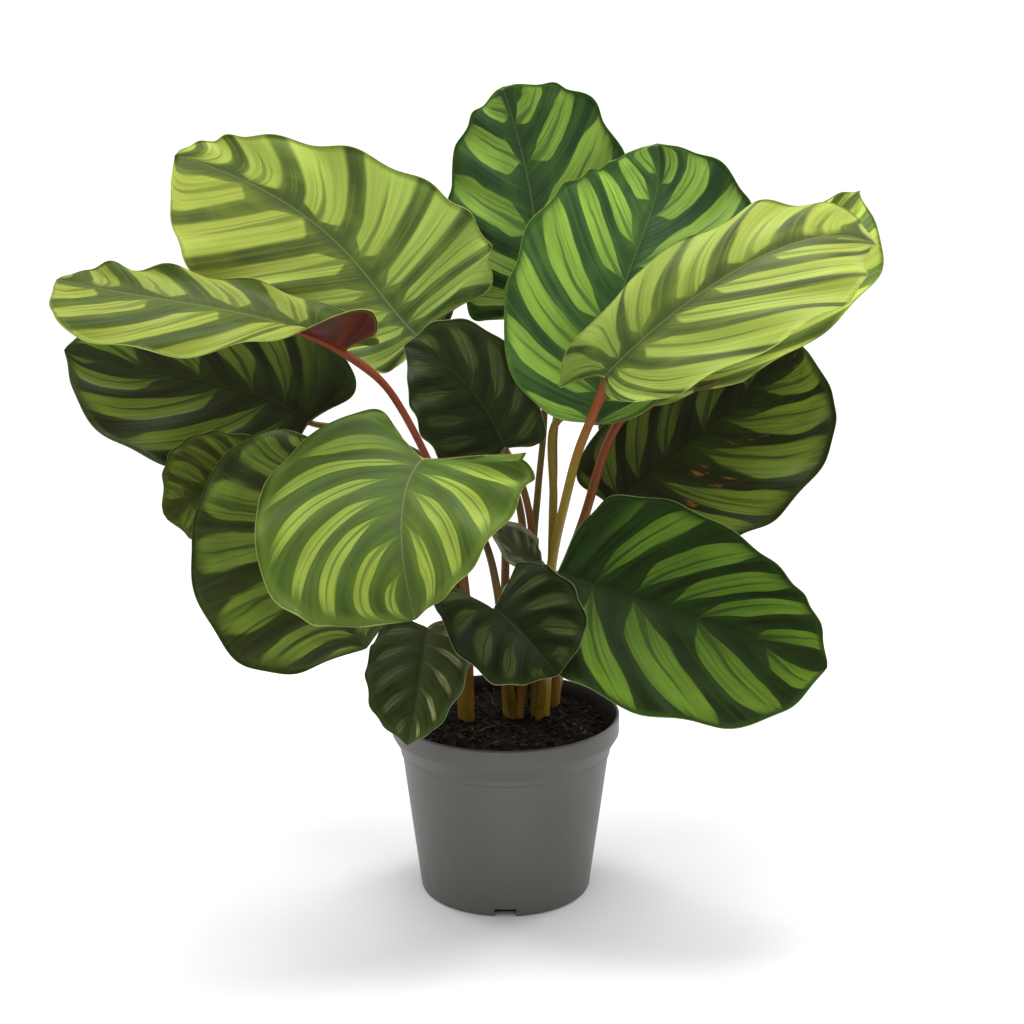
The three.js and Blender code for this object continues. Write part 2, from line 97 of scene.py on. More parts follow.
# ---- leaf table ----
# Form. Where two values stand side by side, they are for the left and the right half, or for base and
# tip; pairs in pairs are for both. rib: four points on the midrib; half: width; face: where the upper
# side looks; fold and bend: degrees; wave: how many waves the margin has, and their height; lobe: how far
# the base reaches back past the stalk; wide: above 0 the half is widest towards the tip, and below 0
# towards the base; blunt: smaller is blunter at the tip; ease: how soon the fold and bend of the base are
# gone; scallop: how far the margin swells at each feather; pleat: depth of the pleats.
# Petiole. stalk: points that it passes; stalk_radius: at the leaf; red: how red it is, low and high;
# stalk_tone: how light it is.
# Pattern. look: one of LOOKS; tone: how light, both the leaf's own lightness and painted light and shade
# where a half lies lit or in shade; warm: how much yellower than its look; fade: how much lighter the
# leaf gets from base to tip; shine: how glossy; rust: specks of rust; bands: where the middle of each pale
# feather lies, 0 at the base and 1 at the tip; sweep: how far the feathers run towards the tip on their
# way out; merge: how far they grow together towards the margin; strength: how clearly they show; bare:
# how far the base is free of them.
PLAIN = dict(
    fold=((10, 10), (10, 10)), bend=((10, 10), (10, 10)), wave=(5, 3), lobe=(0.1, 0.1), wide=(0, 0),
    blunt=(0.72, 0.72), ease=1.5, scallop=0.8, pleat=1.0, stalk_radius=2.2, red=(0.3, 0.3),
    stalk_tone=0.6, look="dark", tone=(1.0, 1.0), warm=((0.0, 0.0), (0.0, 0.0)), fade=0.0, shine=0.14,
    rust=0.0, bands=((0.1, 0.26, 0.42, 0.58, 0.74, 0.9), (0.1, 0.26, 0.42, 0.58, 0.74, 0.9)),
    sweep=((0.1, 0.1), (0.1, 0.1)), merge=(0.0, 0.0), strength=(1.0, 1.0), bare=(0.0, 0.0),
)
LEAVES = {
    "upper_left": dict(
        rib=((-52, 32, 340), (-81, 44, 372), (-123, 58, 411), (-200, 62, 446)), half=(68, 63),
        face=((-0.1, -0.85, 0.5), (-0.2, -0.8, 0.6)), fold=((10, 0), (10, 10)), bend=((-10, -5), (0, 0)),
        wave=(5, 4), lobe=(0.06, 0.12), wide=(0.35, -0.5), blunt=(0.4, 0.5), scallop=1.6,
        stalk=((0, 20, 178), (-3, 24, 241), (-30, 28, 303)), stalk_radius=2, red=(0.5, 0.3),
        stalk_tone=0.7, look="pale", tone=(0.72, 0.8), warm=((-0.14, 0.08), (-0.16, 0.02)), fade=0.2,
        bands=(
            (0.08, 0.2, 0.33, 0.46, 0.58, 0.7, 0.85, 0.955),
            (0.1, 0.25, 0.37, 0.475, 0.605, 0.735, 0.865, 0.945),
        ),
        sweep=((0.08, 0.08), (-0.1, -0.1)), merge=(0.05, 0.1),
    ),
    "left": dict(
        rib=((-90, -45, 345), (-135, -55, 365), (-191, -62, 377), (-250, -50, 386)), half=(47, 26),
        face=((0, -0.4, 0.9), (-0.1, -0.4, 0.9)), fold=((90, 0), (40, 10)), bend=((30, -10), (0, 0)),
        lobe=(0.1, 0.14), wide=(0.2, 0.05), blunt=(0.62, 0.65), ease=4, scallop=1.0,
        stalk=((-24, 4, 183), (-32, -8, 237), (-58, -30, 305), (-72, -40, 328)), red=(1, 1),
        stalk_tone=1.15, look="light", tone=(0.69, 0.63), warm=((0.07, 0.08), (0.05, 0.05)), shine=0.08,
        bands=((0.1, 0.24, 0.38, 0.53, 0.715, 0.855, 0.955), (0.1, 0.25, 0.41, 0.6, 0.765, 0.89)),
        sweep=((0.06, 0.06), (-0.08, -0.08)),
    ),
    "left_under": dict(
        rib=((-117, 5, 293), (-153, 0, 313), (-203, -3, 325), (-259, -2, 338)), half=(56, 52),
        face=((0, -0.95, 0.3), (0, -0.95, 0.3)), wide=(0, -0.1), blunt=(0.85, 0.72),
        stalk=((-5, 8, 188), (-14, 4, 224), (-39, 4, 265), (-81, 10, 286)), stalk_radius=1.8,
        tone=(0.9, 1.18), warm=((0.1, 0.1), (0.1, 0.1)), fade=0.45,
        bands=((0.1, 0.25, 0.41, 0.57, 0.755, 0.89), (0.12, 0.28, 0.44, 0.6, 0.76, 0.9)),
        sweep=((0.2, 0.22), (0.1, 0.1)), strength=(0.85, 0.8), bare=(0.0, 0.25),
    ),
    "top": dict(
        rib=((18, 52, 349), (19, 70, 394), (12, 90, 438), (-2, 104, 485)), half=(54, 60),
        face=((0, -0.95, 0.3), (0, -0.95, 0.3)), wave=(6, 3), wide=(-0.15, 0.1), blunt=(0.6, 0.5),
        scallop=2.2, stalk=((17, 24, 209), (20, 30, 246), (24, 46, 297)), stalk_radius=1.9,
        red=(0.1, 0.1), stalk_tone=0.5, look="middle", tone=(0.79, 0.87),
        bands=((0.1, 0.25, 0.41, 0.61, 0.825, 0.945), (0.1, 0.26, 0.42, 0.66, 0.84, 0.94)),
        sweep=((0, 0), (0.05, 0.05)),
    ),
    "upper_right": dict(
        rib=((54, 8, 292), (70, 26, 369), (88, 50, 413), (92, 66, 453)), half=(63, 72),
        face=((-0.1, -0.9, 0.3), (0, -0.9, 0.3)), wave=(6, 3), lobe=(0, -0.06), wide=(-0.35, -0.12),
        blunt=(0.3, 0.8), scallop=1.4, stalk=((28, 8, 195), (29, 8, 245), (30, 12, 291), (42, 13, 298)),
        stalk_radius=2.4, red=(0.1, 0.1), stalk_tone=0.9, look="middle", tone=(1.33, 0.86),
        bands=(
            (0.1, 0.27, 0.36, 0.495, 0.635, 0.73, 0.875, 0.96),
            (0.1, 0.26, 0.42, 0.56, 0.7, 0.85, 0.95),
        ),
        sweep=((0.02, 0.08), (0.1, 0.12)), strength=(0.85, 1.0),
    ),
    "right": dict(
        rib=((57, -32, 327), (92, -46, 364), (151, -42, 401), (211, -22, 402)), half=(36, 55),
        face=((-0.2, -0.7, 0.65), (-0.1, -0.7, 0.7)), fold=((45, 8), (8, 4)), bend=((-42, -38), (-8, 0)),
        lobe=(0.26, -0.03), wide=(0.1, 0.2), blunt=(0.72, 1.2),
        stalk=((28, 4, 205), (36, -4, 248), (43, -15, 280), (53, -22, 308)), stalk_radius=2.7,
        red=(0.0, 0.9), stalk_tone=1.2, look="pale", tone=(0.75, 0.71),
        warm=((-0.14, 0.08), (-0.1, 0.08)), fade=0.22,
        bands=((0.1, 0.22, 0.33, 0.46, 0.62, 0.74, 0.88), (0.1, 0.22, 0.35, 0.535, 0.67, 0.775, 0.9)),
        sweep=((-0.05, -0.05), (0.06, 0.25)), merge=(0.32, 0.22), strength=(0.86, 1.0),
    ),
    "right_behind": dict(
        rib=((86, 25, 300), (136, 38, 343), (182, 47, 390), (214, 52, 426)), half=(25, 44),
        face=((0.1, -0.7, 0.6), (0.1, -0.7, 0.6)), lobe=(0.1, -0.1), wide=(-0.35, 0.5), blunt=(0.9, 1.6),
        stalk=((40, 22, 202), (49, 17, 235), (62, 15, 279), (71, 17, 294)), stalk_radius=2.8,
        red=(0.8, 1), stalk_tone=1, look="light", tone=(1.4, 1.4),
    ),
    "right_dark": dict(
        rib=((65, 25, 236), (102, 34, 265), (140, 42, 295), (179, 50, 335)), half=(48, 72),
        face=((0.1, -0.8, 0.5), (0.1, -0.8, 0.5)), lobe=(0.08, 0.03), wide=(0, 0.05), blunt=(0.7, 0.5),
        stalk=((40, 30, 175), (52, 28, 214)), stalk_radius=2.4, red=(0.8, 0.9), stalk_tone=0.9,
        tone=(0.88, 1.28), warm=((0.14, 0.12), (0.12, 0.06)), rust=0.8,
        bands=((0.12, 0.28, 0.44, 0.6, 0.76, 0.9), (0.1, 0.24, 0.38, 0.51, 0.7, 0.825, 0.93)),
        merge=(0, 0.22), strength=(0.8, 1.0),
    ),
    "lower_right": dict(
        rib=((31, -25, 209), (78, -50, 199), (131, -72, 187), (183, -85, 170)), half=(58, 72),
        face=((0.1, -0.8, 0.6), (0.2, -0.9, 0.5)), lobe=(0.03, 0), wide=(-0.3, -0.05),
        stalk=((24, 2, 152), (26, -14, 195)), stalk_radius=2.4, red=(0.2, 0.3), stalk_tone=0.8,
        look="green", tone=(0.95, 0.93), warm=((-0.1, 0.0), (-0.04, 0.02)), shine=0.03,
        bands=((0.1, 0.26, 0.43, 0.58, 0.685, 0.77, 0.9), (0.1, 0.26, 0.44, 0.61, 0.785, 0.925)),
        sweep=((0.08, 0.08), (0.1, 0.1)), bare=(0.3, 0.0),
    ),
    "front": dict(
        rib=((-46, -60, 286), (-56, -92, 270), (-55, -122, 244), (-48, -132, 213)), half=(66, 78),
        face=((0, -0.3, 0.9), (0, -0.9, 0.3)), lobe=(0.19, 0.22), wide=(-0.45, 0.2),
        stalk=((-27, -5, 197), (-31, -36, 251), (-38, -56, 281)), red=(0.3, 0.5), look="front",
        tone=(0.66, 0.61), warm=((-0.02, 0.0), (-0.04, 0.0)), shine=0.09,
        bands=((0.12, 0.3, 0.5, 0.66, 0.82, 1.1), (0.12, 0.27, 0.41, 0.555, 0.665, 0.745, 0.86)),
        sweep=((0.3, 0.3), (0.22, 0.27)),
    ),
    "lower_left": dict(
        rib=((-101, -40, 288), (-112, -58, 249), (-101, -72, 213), (-79, -75, 178)), half=(60, 70),
        face=((0, -0.6, 0.6), (0, -0.9, 0.2)), lobe=(0.05, 0), wide=(0, 0.12), blunt=(0.72, 0.9),
        stalk=((-29, -5, 186), (-50, -22, 240), (-78, -35, 278)), stalk_radius=2, red=(0.2, 0.3),
        look="olive", tone=(1.15, 1.15), warm=((-0.02, 0.02), (-0.02, 0.02)),
        bands=((0.12, 0.3, 0.46, 0.6, 0.75, 0.9), (0.12, 0.28, 0.46, 0.56, 0.71, 0.87)),
        sweep=((-0.1, -0.1), (-0.2, -0.2)),
    ),
    "small_left": dict(
        rib=((-144, -29, 266), (-161, -37, 264), (-178, -44, 259), (-197, -46, 250)), half=(38, 34),
        face=((0, -0.9, 0.45), (0, -0.9, 0.45)), wave=(4, 2), blunt=(0.5, 0.5),
        stalk=((-34, 5, 183), (-63, -4, 229), (-110, -26, 252)), stalk_radius=1.8, look="olive",
        tone=(1.32, 1.35), warm=((0.08, 0.1), (0.08, 0.1)), shine=0.04, strength=(0.45, 0.45),
    ),
    "centre": dict(
        rib=((0, 15, 275), (-13, 8, 302), (-33, 4, 326), (-60, 5, 339)), half=(45, 34),
        face=((0, -0.8, 0.5), (0, -0.8, 0.5)), wave=(5, 2), lobe=(0.12, 0.12),
        stalk=((17, 12, 209), (11, 13, 250)), red=(0.8, 0.5), stalk_tone=0.7, look="deep",
        tone=(1.1, 1.48), warm=((0.05, 0.05), (0.07, 0.07)), shine=0.09, strength=(0.75, 1.0),
    ),
    "small_front": dict(
        rib=((-7, -40, 191), (3, -66, 191), (18, -86, 181), (29, -95, 168)), half=(40, 44),
        face=((0, -0.5, 0.8), (0, -0.9, 0.4)), fold=((40, 10), (35, 10)), wave=(5, 2), lobe=(0.4, 0.4),
        wide=(0, -0.15), stalk=((0, -10, 149), (-4, -28, 179)), stalk_radius=1.8, red=(0.2, 0.2),
        look="deep", tone=(1.0, 0.95), warm=((0.0, 0.06), (0.05, 0.1)), shine=0.05,
    ),
    # painted sheen on the first half: the grey feathers of its look at full strength, and a high tone
    # there
    "over_rim": dict(
        rib=((-46, -20, 173), (-49, -50, 158), (-52, -74, 142), (-56, -86, 123)), half=(28, 32),
        face=((0, -0.6, 0.7), (0, -0.9, 0.3)), wave=(5, 1.5), wide=(-0.35, -0.1),
        stalk=((-26, 4, 145), (-34, -8, 172)), stalk_radius=1.6, red=(0.2, 0.2), look="sheen",
        tone=(2.2, 1.55), warm=((0.05, 0.05), (0.02, 0.04)), shine=0.1, strength=(1.0, 0.25),
    ),
    "small_inner": dict(
        rib=((22, 2, 208), (12, 0, 212), (1, -2, 223), (-12, -3, 236)), half=(12, 14),
        face=((0, -0.7, 0.7), (0, -0.7, 0.7)), wave=(3, 1), lobe=(0.05, 0.05), scallop=0.2, pleat=0.2,
        stalk=((23, 8, 150), (24, 4, 195)), stalk_radius=1.4, red=(0.2, 0.2), look="silver",
        tone=(1.15, 1.25),
    ),
    "back_left": dict(
        rib=((-66, 75, 338), (-93, 112, 370), (-122, 150, 386), (-152, 186, 381)), half=(50, 52),
        face=((-0.2, 0.2, 0.9), (-0.3, 0.4, 0.8)), stalk=((12, 36, 199), (4, 46, 248), (-31, 60, 302)),
        stalk_radius=2,
    ),
    "back_right": dict(
        rib=((61, 72, 338), (86, 110, 364), (114, 150, 378), (141, 190, 374)), half=(54, 50),
        face=((0.1, 0.2, 0.9), (0.2, 0.4, 0.8)), stalk=((29, 44, 197), (30, 52, 247), (33, 60, 290)),
        red=(0.3, 0.5), stalk_tone=0.7, look="middle",
    ),
    "back_low_right": dict(
        rib=((91, 66, 269), (120, 115, 279), (146, 150, 272), (167, 175, 246)), half=(50, 50),
        face=((0.1, 0.4, 0.9), (0.3, 0.8, 0.5)), stalk=((44, 40, 172), (66, 53, 234)), red=(0.5, 0.6),
        stalk_tone=0.7,
    ),
    "back_low_left": dict(
        rib=((-66, 50, 234), (-93, 85, 239), (-122, 115, 225), (-146, 140, 191)), half=(50, 46),
        face=((-0.1, 0.4, 0.9), (-0.3, 0.8, 0.5)), stalk=((-31, 28, 176), (-44, 38, 218)),
        stalk_radius=1.8, red=(0.3, 0.4),
    ),
}
for own in LEAVES.values():
    for key, usual in PLAIN.items():
        own.setdefault(key, usual)

SHOOTS = {
    "left": dict(
        crown=(-23, 14),
        leaves=("left", "lower_left", "front", "small_left", "over_rim", "back_low_left"),
    ),
    "middle": dict(
        crown=(5, 16),
        leaves=("left_under", "upper_left", "centre", "small_front", "back_left"),
    ),
    "right": dict(
        crown=(21, 15),
        leaves=("right", "upper_right", "top", "lower_right", "small_inner"),
    ),
    "back": dict(
        crown=(27, 33),
        leaves=("right_behind", "right_dark", "back_right", "back_low_right"),
    ),
}

# ---- colours of a leaf's upper side ----
# Colours, 0 to 255 as they should look: feather, dark band and its core, zone along the midrib, margin,
# midrib line and thin edge. share: how much of the way from feather to feather is pale; inner and outer:
# where across the half the feathers begin and end; point: how long a feather's point at the midrib is;
# start: where along the leaf the first feather may lie; soft and fray: how blurred and how ragged the
# feathers' sides are; rim: width of the margin in millimetres; streak: light and shade of the fine
# streaks; strand: dark strands in the feathers; deepen: how much darker a feather is near the midrib;
# stray: how unevenly the feathers run.
LOOKS = {
    "pale": dict(
        slot="leaf_light", feather=(184, 206, 100), band=(104, 126, 58), core=(84, 102, 52),
        zone=(86, 104, 60), margin=(142, 166, 70), rib=(122, 136, 84), edge=(190, 204, 122), share=0.6,
        inner=0.04, outer=1.3, point=0.18, start=0.12, soft=0.16, fray=0.07, rim=0.4, streak=0.15,
        strand=0.25, deepen=0.1, stray=0.14,
    ),
    "light": dict(
        slot="leaf_light", feather=(166, 188, 90), band=(88, 108, 44), core=(72, 92, 48),
        zone=(88, 106, 52), margin=(116, 142, 60), rib=(98, 116, 70), edge=(178, 192, 116), share=0.57,
        inner=0.06, outer=1.2, point=0.28, start=0.08, soft=0.12, fray=0.08, rim=1.0, streak=0.18,
        strand=0.3, deepen=0.15, stray=0.24,
    ),
    "front": dict(
        slot="leaf_light", feather=(184, 210, 94), band=(94, 122, 50), core=(80, 106, 48),
        zone=(88, 108, 56), margin=(116, 142, 62), rib=(104, 122, 76), edge=(176, 190, 116), share=0.5,
        inner=0.05, outer=0.92, point=0.3, start=0.27, soft=0.1, fray=0.06, rim=5.0, streak=0.14,
        strand=0.12, deepen=0.1, stray=0.2,
    ),
    "middle": dict(
        slot="leaf_mid", feather=(136, 172, 72), band=(50, 80, 42), core=(42, 68, 40), zone=(48, 72, 38),
        margin=(76, 112, 46), rib=(84, 104, 58), edge=(136, 160, 88), share=0.6, inner=0.02, outer=1.0,
        point=0.3, start=0.03, soft=0.08, fray=0.08, rim=1.6, streak=0.2, strand=0.3, deepen=0.2,
        stray=0.24,
    ),
    "dark": dict(
        slot="leaf_dark", feather=(100, 128, 46), band=(38, 50, 24), core=(34, 38, 22), zone=(36, 46, 22),
        margin=(46, 64, 28), rib=(50, 58, 32), edge=(112, 126, 74), share=0.64, inner=0.03, outer=0.97,
        point=0.42, start=0.08, soft=0.12, fray=0.14, rim=3.0, streak=0.26, strand=0.35, deepen=0.3,
        stray=0.34,
    ),
    "green": dict(
        slot="leaf_dark", feather=(100, 132, 46), band=(38, 54, 26), core=(32, 42, 22), zone=(36, 50, 25),
        margin=(48, 72, 30), rib=(48, 58, 32), edge=(150, 164, 124), share=0.61, inner=0.0, outer=1.0,
        point=0.42, start=0.05, soft=0.08, fray=0.07, rim=2.6, streak=0.16, strand=0.25, deepen=0.5,
        stray=0.22,
    ),
    "olive": dict(
        slot="leaf_dark", feather=(108, 134, 52), band=(50, 62, 28), core=(46, 52, 26), zone=(46, 58, 28),
        margin=(60, 76, 34), rib=(58, 68, 36), edge=(112, 126, 74), share=0.62, inner=0.05, outer=0.97,
        point=0.4, start=0.08, soft=0.14, fray=0.16, rim=3.0, streak=0.32, strand=0.55, deepen=0.3,
        stray=0.34,
    ),
    "deep": dict(
        slot="leaf_dark", feather=(62, 78, 44), band=(32, 42, 22), core=(28, 34, 20), zone=(30, 38, 20),
        margin=(38, 52, 28), rib=(52, 60, 38), edge=(150, 164, 124), share=0.5, inner=0.2, outer=0.9,
        point=0.32, start=0.1, soft=0.3, fray=0.16, rim=4.0, streak=0.26, strand=0.4, deepen=0.2,
        stray=0.34,
    ),
    "silver": dict(
        slot="leaf_dark", feather=(84, 92, 68), band=(44, 54, 34), core=(38, 46, 30), zone=(50, 58, 40),
        margin=(112, 114, 98), rib=(70, 76, 58), edge=(150, 150, 134), share=0.3, inner=0.2, outer=0.8,
        point=0.3, start=0.3, soft=0.4, fray=0.16, rim=2.6, streak=0.3, strand=0.4, deepen=0.1,
        stray=0.34,
    ),
    # the grey-white feathers of this look are a painted sheen: glossy highlight streaks put into the
    # colour
    "sheen": dict(
        slot="leaf_dark", feather=(130, 134, 104), band=(36, 48, 20), core=(32, 44, 18),
        zone=(40, 52, 26), margin=(46, 62, 32), rib=(60, 68, 44), edge=(150, 162, 126), share=0.3,
        inner=0.2, outer=0.86, point=0.32, start=0.2, soft=0.4, fray=0.16, rim=3.0, streak=0.3,
        strand=0.4, deepen=0.1, stray=0.34,
    ),
}


# ---- leaf form ----
# A leaf is bent round its midrib, a curve through four points. Each half swells from the midrib by a sine
# outline, with a lobe at the base, and folds, bends and waves out of the midrib's plane.
LOBE_END = 0.36  # the lobe takes up this much of the outline
TIP_SHARPNESS = 0.045
WAVE_SHIFT = 1.3  # keeps the waves of the two halves apart


def unit(vectors):
    return vectors / np.maximum(np.linalg.norm(vectors, axis=-1, keepdims=True), 1e-12)


def swell(t):
    """0 at base and tip, 1 halfway."""
    return np.sqrt(np.maximum(np.sin(np.pi * t), 0))


def rib_at(leaf, u):
    u = np.asarray(u, float)[..., None]
    weights = (
        -4.5 * (u - 1 / 3) * (u - 2 / 3) * (u - 1),
        13.5 * u * (u - 2 / 3) * (u - 1),
        -13.5 * u * (u - 1 / 3) * (u - 1),
        4.5 * u * (u - 1 / 3) * (u - 2 / 3),
    )
    return sum(w * np.array(p, float) for w, p in zip(weights, leaf["rib"]))


def rib_length(leaf):
    steps = rib_at(leaf, np.linspace(0, 1, 101))
    return float(np.linalg.norm(np.diff(steps, axis=0), axis=1).sum())


def rib_frame(leaf, u):
    """Tangent along the midrib, the leaf's upward normal and the direction to its right half."""
    step = 0.001
    u = np.asarray(u, float)
    tangent = unit(rib_at(leaf, np.minimum(u + step, 1)) - rib_at(leaf, np.maximum(u - step, 0)))
    first, last = (np.array(f, float) for f in leaf["face"])
    normal = first + (last - first) * u[..., None]
    normal = unit(normal - tangent * (normal * tangent).sum(-1, keepdims=True))
    return tangent, normal, np.cross(tangent, normal)


def phase_at(leaf, k, t, v):
    """Rises by one from each pale feather to the next; whole at a feather's middle."""
    low, high = leaf["sweep"][k]
    t = t - (low + (high - low) * t) * (v - 0.5)
    centres = np.array(leaf["bands"][k], float)
    first, last = centres[1] - centres[0], centres[-1] - centres[-2]
    known = np.concatenate([[centres[0] - 2 * first], centres, [centres[-1] + 2 * last]])
    return np.interp(t, known, [-2, *range(len(centres)), len(centres) + 1])


def margin_at(leaf, k, length, t):
    """The point t along the outline of half k in the flat leaf: out from the midrib, and along it."""
    s = np.maximum(np.sin(np.pi * t), 0)
    c = np.cos(np.pi * t)
    blunt = 0.68 + (leaf["blunt"][k] - 0.62) * np.clip((t - 0.5) * 2, 0, 1)
    x = leaf["half"][k] * s**blunt * (1 - leaf["wide"][k] * c)
    lobe = leaf["lobe"][k] * length * np.maximum(np.sin(np.pi * np.minimum(t / LOBE_END, 1)), 0) ** 1.5
    y = (length - TIP) * (0.5 - 0.5 * c) + TIP * np.exp(-(1 - t) / TIP_SHARPNESS) - lobe
    return x, y


def flat_point(leaf, k, length, t, v):
    """Place in the flat leaf of the point t along the outline and v of the way out, and its distances from
    the margin and from the midrib."""
    edge_x, edge_y = margin_at(leaf, k, length, t)
    mid_y = length * t * t
    bow_x = 0.55 * edge_x
    bow_y = mid_y + (edge_y - mid_y) * 0.3
    x = 2 * v * (1 - v) * bow_x + v * v * edge_x
    y = (1 - v) ** 2 * mid_y + 2 * v * (1 - v) * bow_y + v * v * edge_y
    step = 0.002
    ahead_x, ahead_y = margin_at(leaf, k, length, np.minimum(t + step, 1))
    back_x, back_y = margin_at(leaf, k, length, np.maximum(t - step, 0))
    out = unit(np.stack([ahead_y - back_y, back_x - ahead_x], -1))
    inside = (edge_x - x) * out[..., 0] + (edge_y - y) * out[..., 1]
    bump = -leaf["scallop"] * np.cos(FULL_TURN * phase_at(leaf, k, t, v)) * swell(t) * v**5
    return x + out[..., 0] * bump, y + out[..., 1] * bump, np.maximum(inside, 0), x


def leaf_points(leaf, k, length, t, v):
    """Points of half k in space, and their distances from the margin and from the midrib."""
    side = -1 if k == 0 else 1
    x, y, inside, mid = flat_point(leaf, k, length, t, v)
    u = np.clip(y / length, 0, 1)
    tangent, normal, right = rib_frame(leaf, u)
    points = rib_at(leaf, u) + tangent * (y - u * length)[..., None]
    ease = (1 - u) ** leaf["ease"]
    fold_base, fold_tip = leaf["fold"][k]
    bend_base, bend_tip = leaf["bend"][k]
    fold = np.radians(fold_tip + (fold_base - fold_tip) * ease)
    bend = np.radians(bend_tip + (bend_base - bend_tip) * ease)
    bend = np.where(np.abs(bend) < 1e-4, 1e-4, bend)
    curl = bend / leaf["half"][k]
    angle = fold + curl * x
    points = points + right * (side * (np.sin(angle) - np.sin(fold)) / curl)[..., None]
    points = points + normal * ((np.cos(fold) - np.cos(angle)) / curl)[..., None]
    count, height = leaf["wave"]
    wave = height * v * v * np.sin(FULL_TURN * count * t + WAVE_SHIFT * k)
    ripple = np.cos(FULL_TURN * phase_at(leaf, k, t, v))
    pleat = leaf["pleat"] * ripple * np.sin(np.pi * np.minimum(v * 1.2, 1) / 2) ** 2
    groove = GROOVE * np.exp(-((x / GROOVE_WIDTH) ** 2))
    lift = (wave - pleat - groove) * swell(t)
    points = points - right * (side * np.sin(angle) * lift)[..., None]
    points = points + normal * (np.cos(angle) * lift)[..., None]
    return points, inside, mid


# ---- meshes ----
def put_in_scene(name, data):
    thing = bpy.data.objects.new(name, data)
    bpy.context.scene.collection.objects.link(thing)
    return thing


def mesh_object(name, points, faces, materials, face_material=None):
    mesh = bpy.data.meshes.new(name)
    mesh.from_pydata((np.asarray(points) * MM).tolist(), [], faces)
    for material in materials:
        mesh.materials.append(material)
    if face_material is not None:
        mesh.polygons.foreach_set("material_index", face_material)
    mesh.polygons.foreach_set("use_smooth", [True] * len(mesh.polygons))
    mesh.update()
    return put_in_scene(name, mesh)


def without_doubles(corners):
    """Places in a list of corners, leaving out each corner that repeats the one before."""
    return [n for n in range(len(corners)) if corners[n] != corners[n - 1]]


def between_rings(rings):
    """Faces from each ring of corners to the next. A ring that is a single corner names it all round."""
    faces = []
    for low, high in zip(rings, rings[1:]):
        for j in range(len(low)):
            after = (j + 1) % len(low)
            corners = [low[j], low[after], high[after], high[j]]
            keep = without_doubles(corners)
            if len(keep) > 2:
                faces.append([corners[n] for n in keep])
    return faces


def place(thing, nodes, slot):
    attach(thing, "root")
    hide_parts(*nodes)


def write_attributes(thing, domain, **attributes):
    for name, values in attributes.items():
        made = thing.data.attributes.new(name, "FLOAT", domain)
        made.data.foreach_set("value", np.asarray(values, np.float32))


HALF_STEP = 20  # added to the number of each feather in the right half


def make_leaf(name, leaf, upper, under):
    """A thin closed body with a rounded rim. Each corner of a face carries its place on the leaf."""
    length = rib_length(leaf)
    width = 2 * STRIPS + 1
    t = np.arange(ROWS + 1)[:, None] / ROWS
    v = np.arange(STRIPS + 1)[None, :] / STRIPS
    t, v = np.broadcast_arrays(t, v)
    halves = [leaf_points(leaf, k, length, t, v) for k in (0, 1)]
    middle = np.concatenate([halves[0][0][:, ::-1], halves[1][0][:, 1:]], 1)
    along = np.gradient(middle, axis=0)
    across = np.gradient(middle, axis=1)
    normal = unit(np.cross(across, along))
    normal[0] = normal[1, STRIPS]
    normal[-1] = normal[-2, STRIPS]
    edge = np.abs(np.arange(width) - STRIPS) / STRIPS
    thick = BLADE_THICKNESS / 2 * (1 - 0.5 * edge**6)[None, :, None]
    outward = unit(across) * np.where(np.arange(width) < STRIPS, -1, 1)[None, :, None]
    rim = middle + outward * BLADE_RIM

    index = {}
    points = []

    def add(point):
        points.append(point)
        return len(points) - 1

    base = add(middle[0, STRIPS])
    tip = add(middle[-1, STRIPS])
    for layer, sign in (("top", 1), ("low", -1)):
        grid = middle + normal * thick * sign
        for i in range(1, ROWS):
            for j in range(width):
                index[layer, i, j] = add(grid[i, j])
    for i in range(1, ROWS):
        for j in (0, width - 1):
            index["rim", i, j] = add(rim[i, j])

    def at(layer, i, j):
        if i == 0:
            return base
        if i == ROWS:
            return tip
        return index[layer, i, j]

    faces, face_material, corner_rows, corner_columns, corner_half = [], [], [], [], []

    def face(corners, places, half, material):
        keep = without_doubles(corners)
        faces.append([corners[n] for n in keep])
        face_material.append(material)
        for n in keep:
            corner_rows.append(places[n][0])
            corner_columns.append(abs(places[n][1] - STRIPS))
            corner_half.append(half)

    for i in range(ROWS):
        for j in range(width - 1):
            half = 0 if j < STRIPS else 1
            spots = [(i, j), (i, j + 1), (i + 1, j + 1), (i + 1, j)]
            face([at("top", *s) for s in spots], spots, half, 0)
            face([at("low", *s) for s in spots[::-1]], spots[::-1], half, 1)
        for j, half in ((width - 1, 1), (0, 0)):
            spots = [(i, j), (i + 1, j)] if half == 0 else [(i + 1, j), (i, j)]
            ends = [at("rim", *s) for s in spots]
            face([*[at("top", *s) for s in spots[::-1]], *ends], [*spots[::-1], *spots], half, 0)
            face([*ends[::-1], *[at("low", *s) for s in spots]], [*spots[::-1], *spots], half, 0)

    thing = mesh_object("calathea_leaf_" + name, points, faces, [upper, under], face_material)
    rows_of, columns_of, half_of = (np.array(a) for a in (corner_rows, corner_columns, corner_half))
    phases = np.stack([phase_at(leaf, k, t, v) for k in (0, 1)])
    insides = np.stack([halves[0][1], halves[1][1]])
    mids = np.stack([halves[0][2], halves[1][2]])
    spots = (half_of, rows_of, columns_of)
    write_attributes(
        thing,
        "CORNER",
        feather=phases[spots] + HALF_STEP * half_of,
        along=rows_of / ROWS,
        across=columns_of / STRIPS,
        from_edge=insides[spots],
        from_rib=mids[spots],
    )
    place(thing, ["leaf_" + name], LOOKS[leaf["look"]]["slot"])


# ---- materials ----
TINT = (1, 0.97, 0.78)  # what stays of red, green and blue, as the white sheen on a surface adds blue
VEINS = 9  # fine veins from one feather to the next


def paint(red, green, blue):
    """A colour given as 0 to 255, as it should look in this light."""
    shares = [c / 255 for c in (red, green, blue)]
    shares = [c / 12.92 if c <= 0.04045 else ((c + 0.055) / 1.055) ** 2.4 for c in shares]
    return (*[c * tint for c, tint in zip(shares, TINT)], 1)


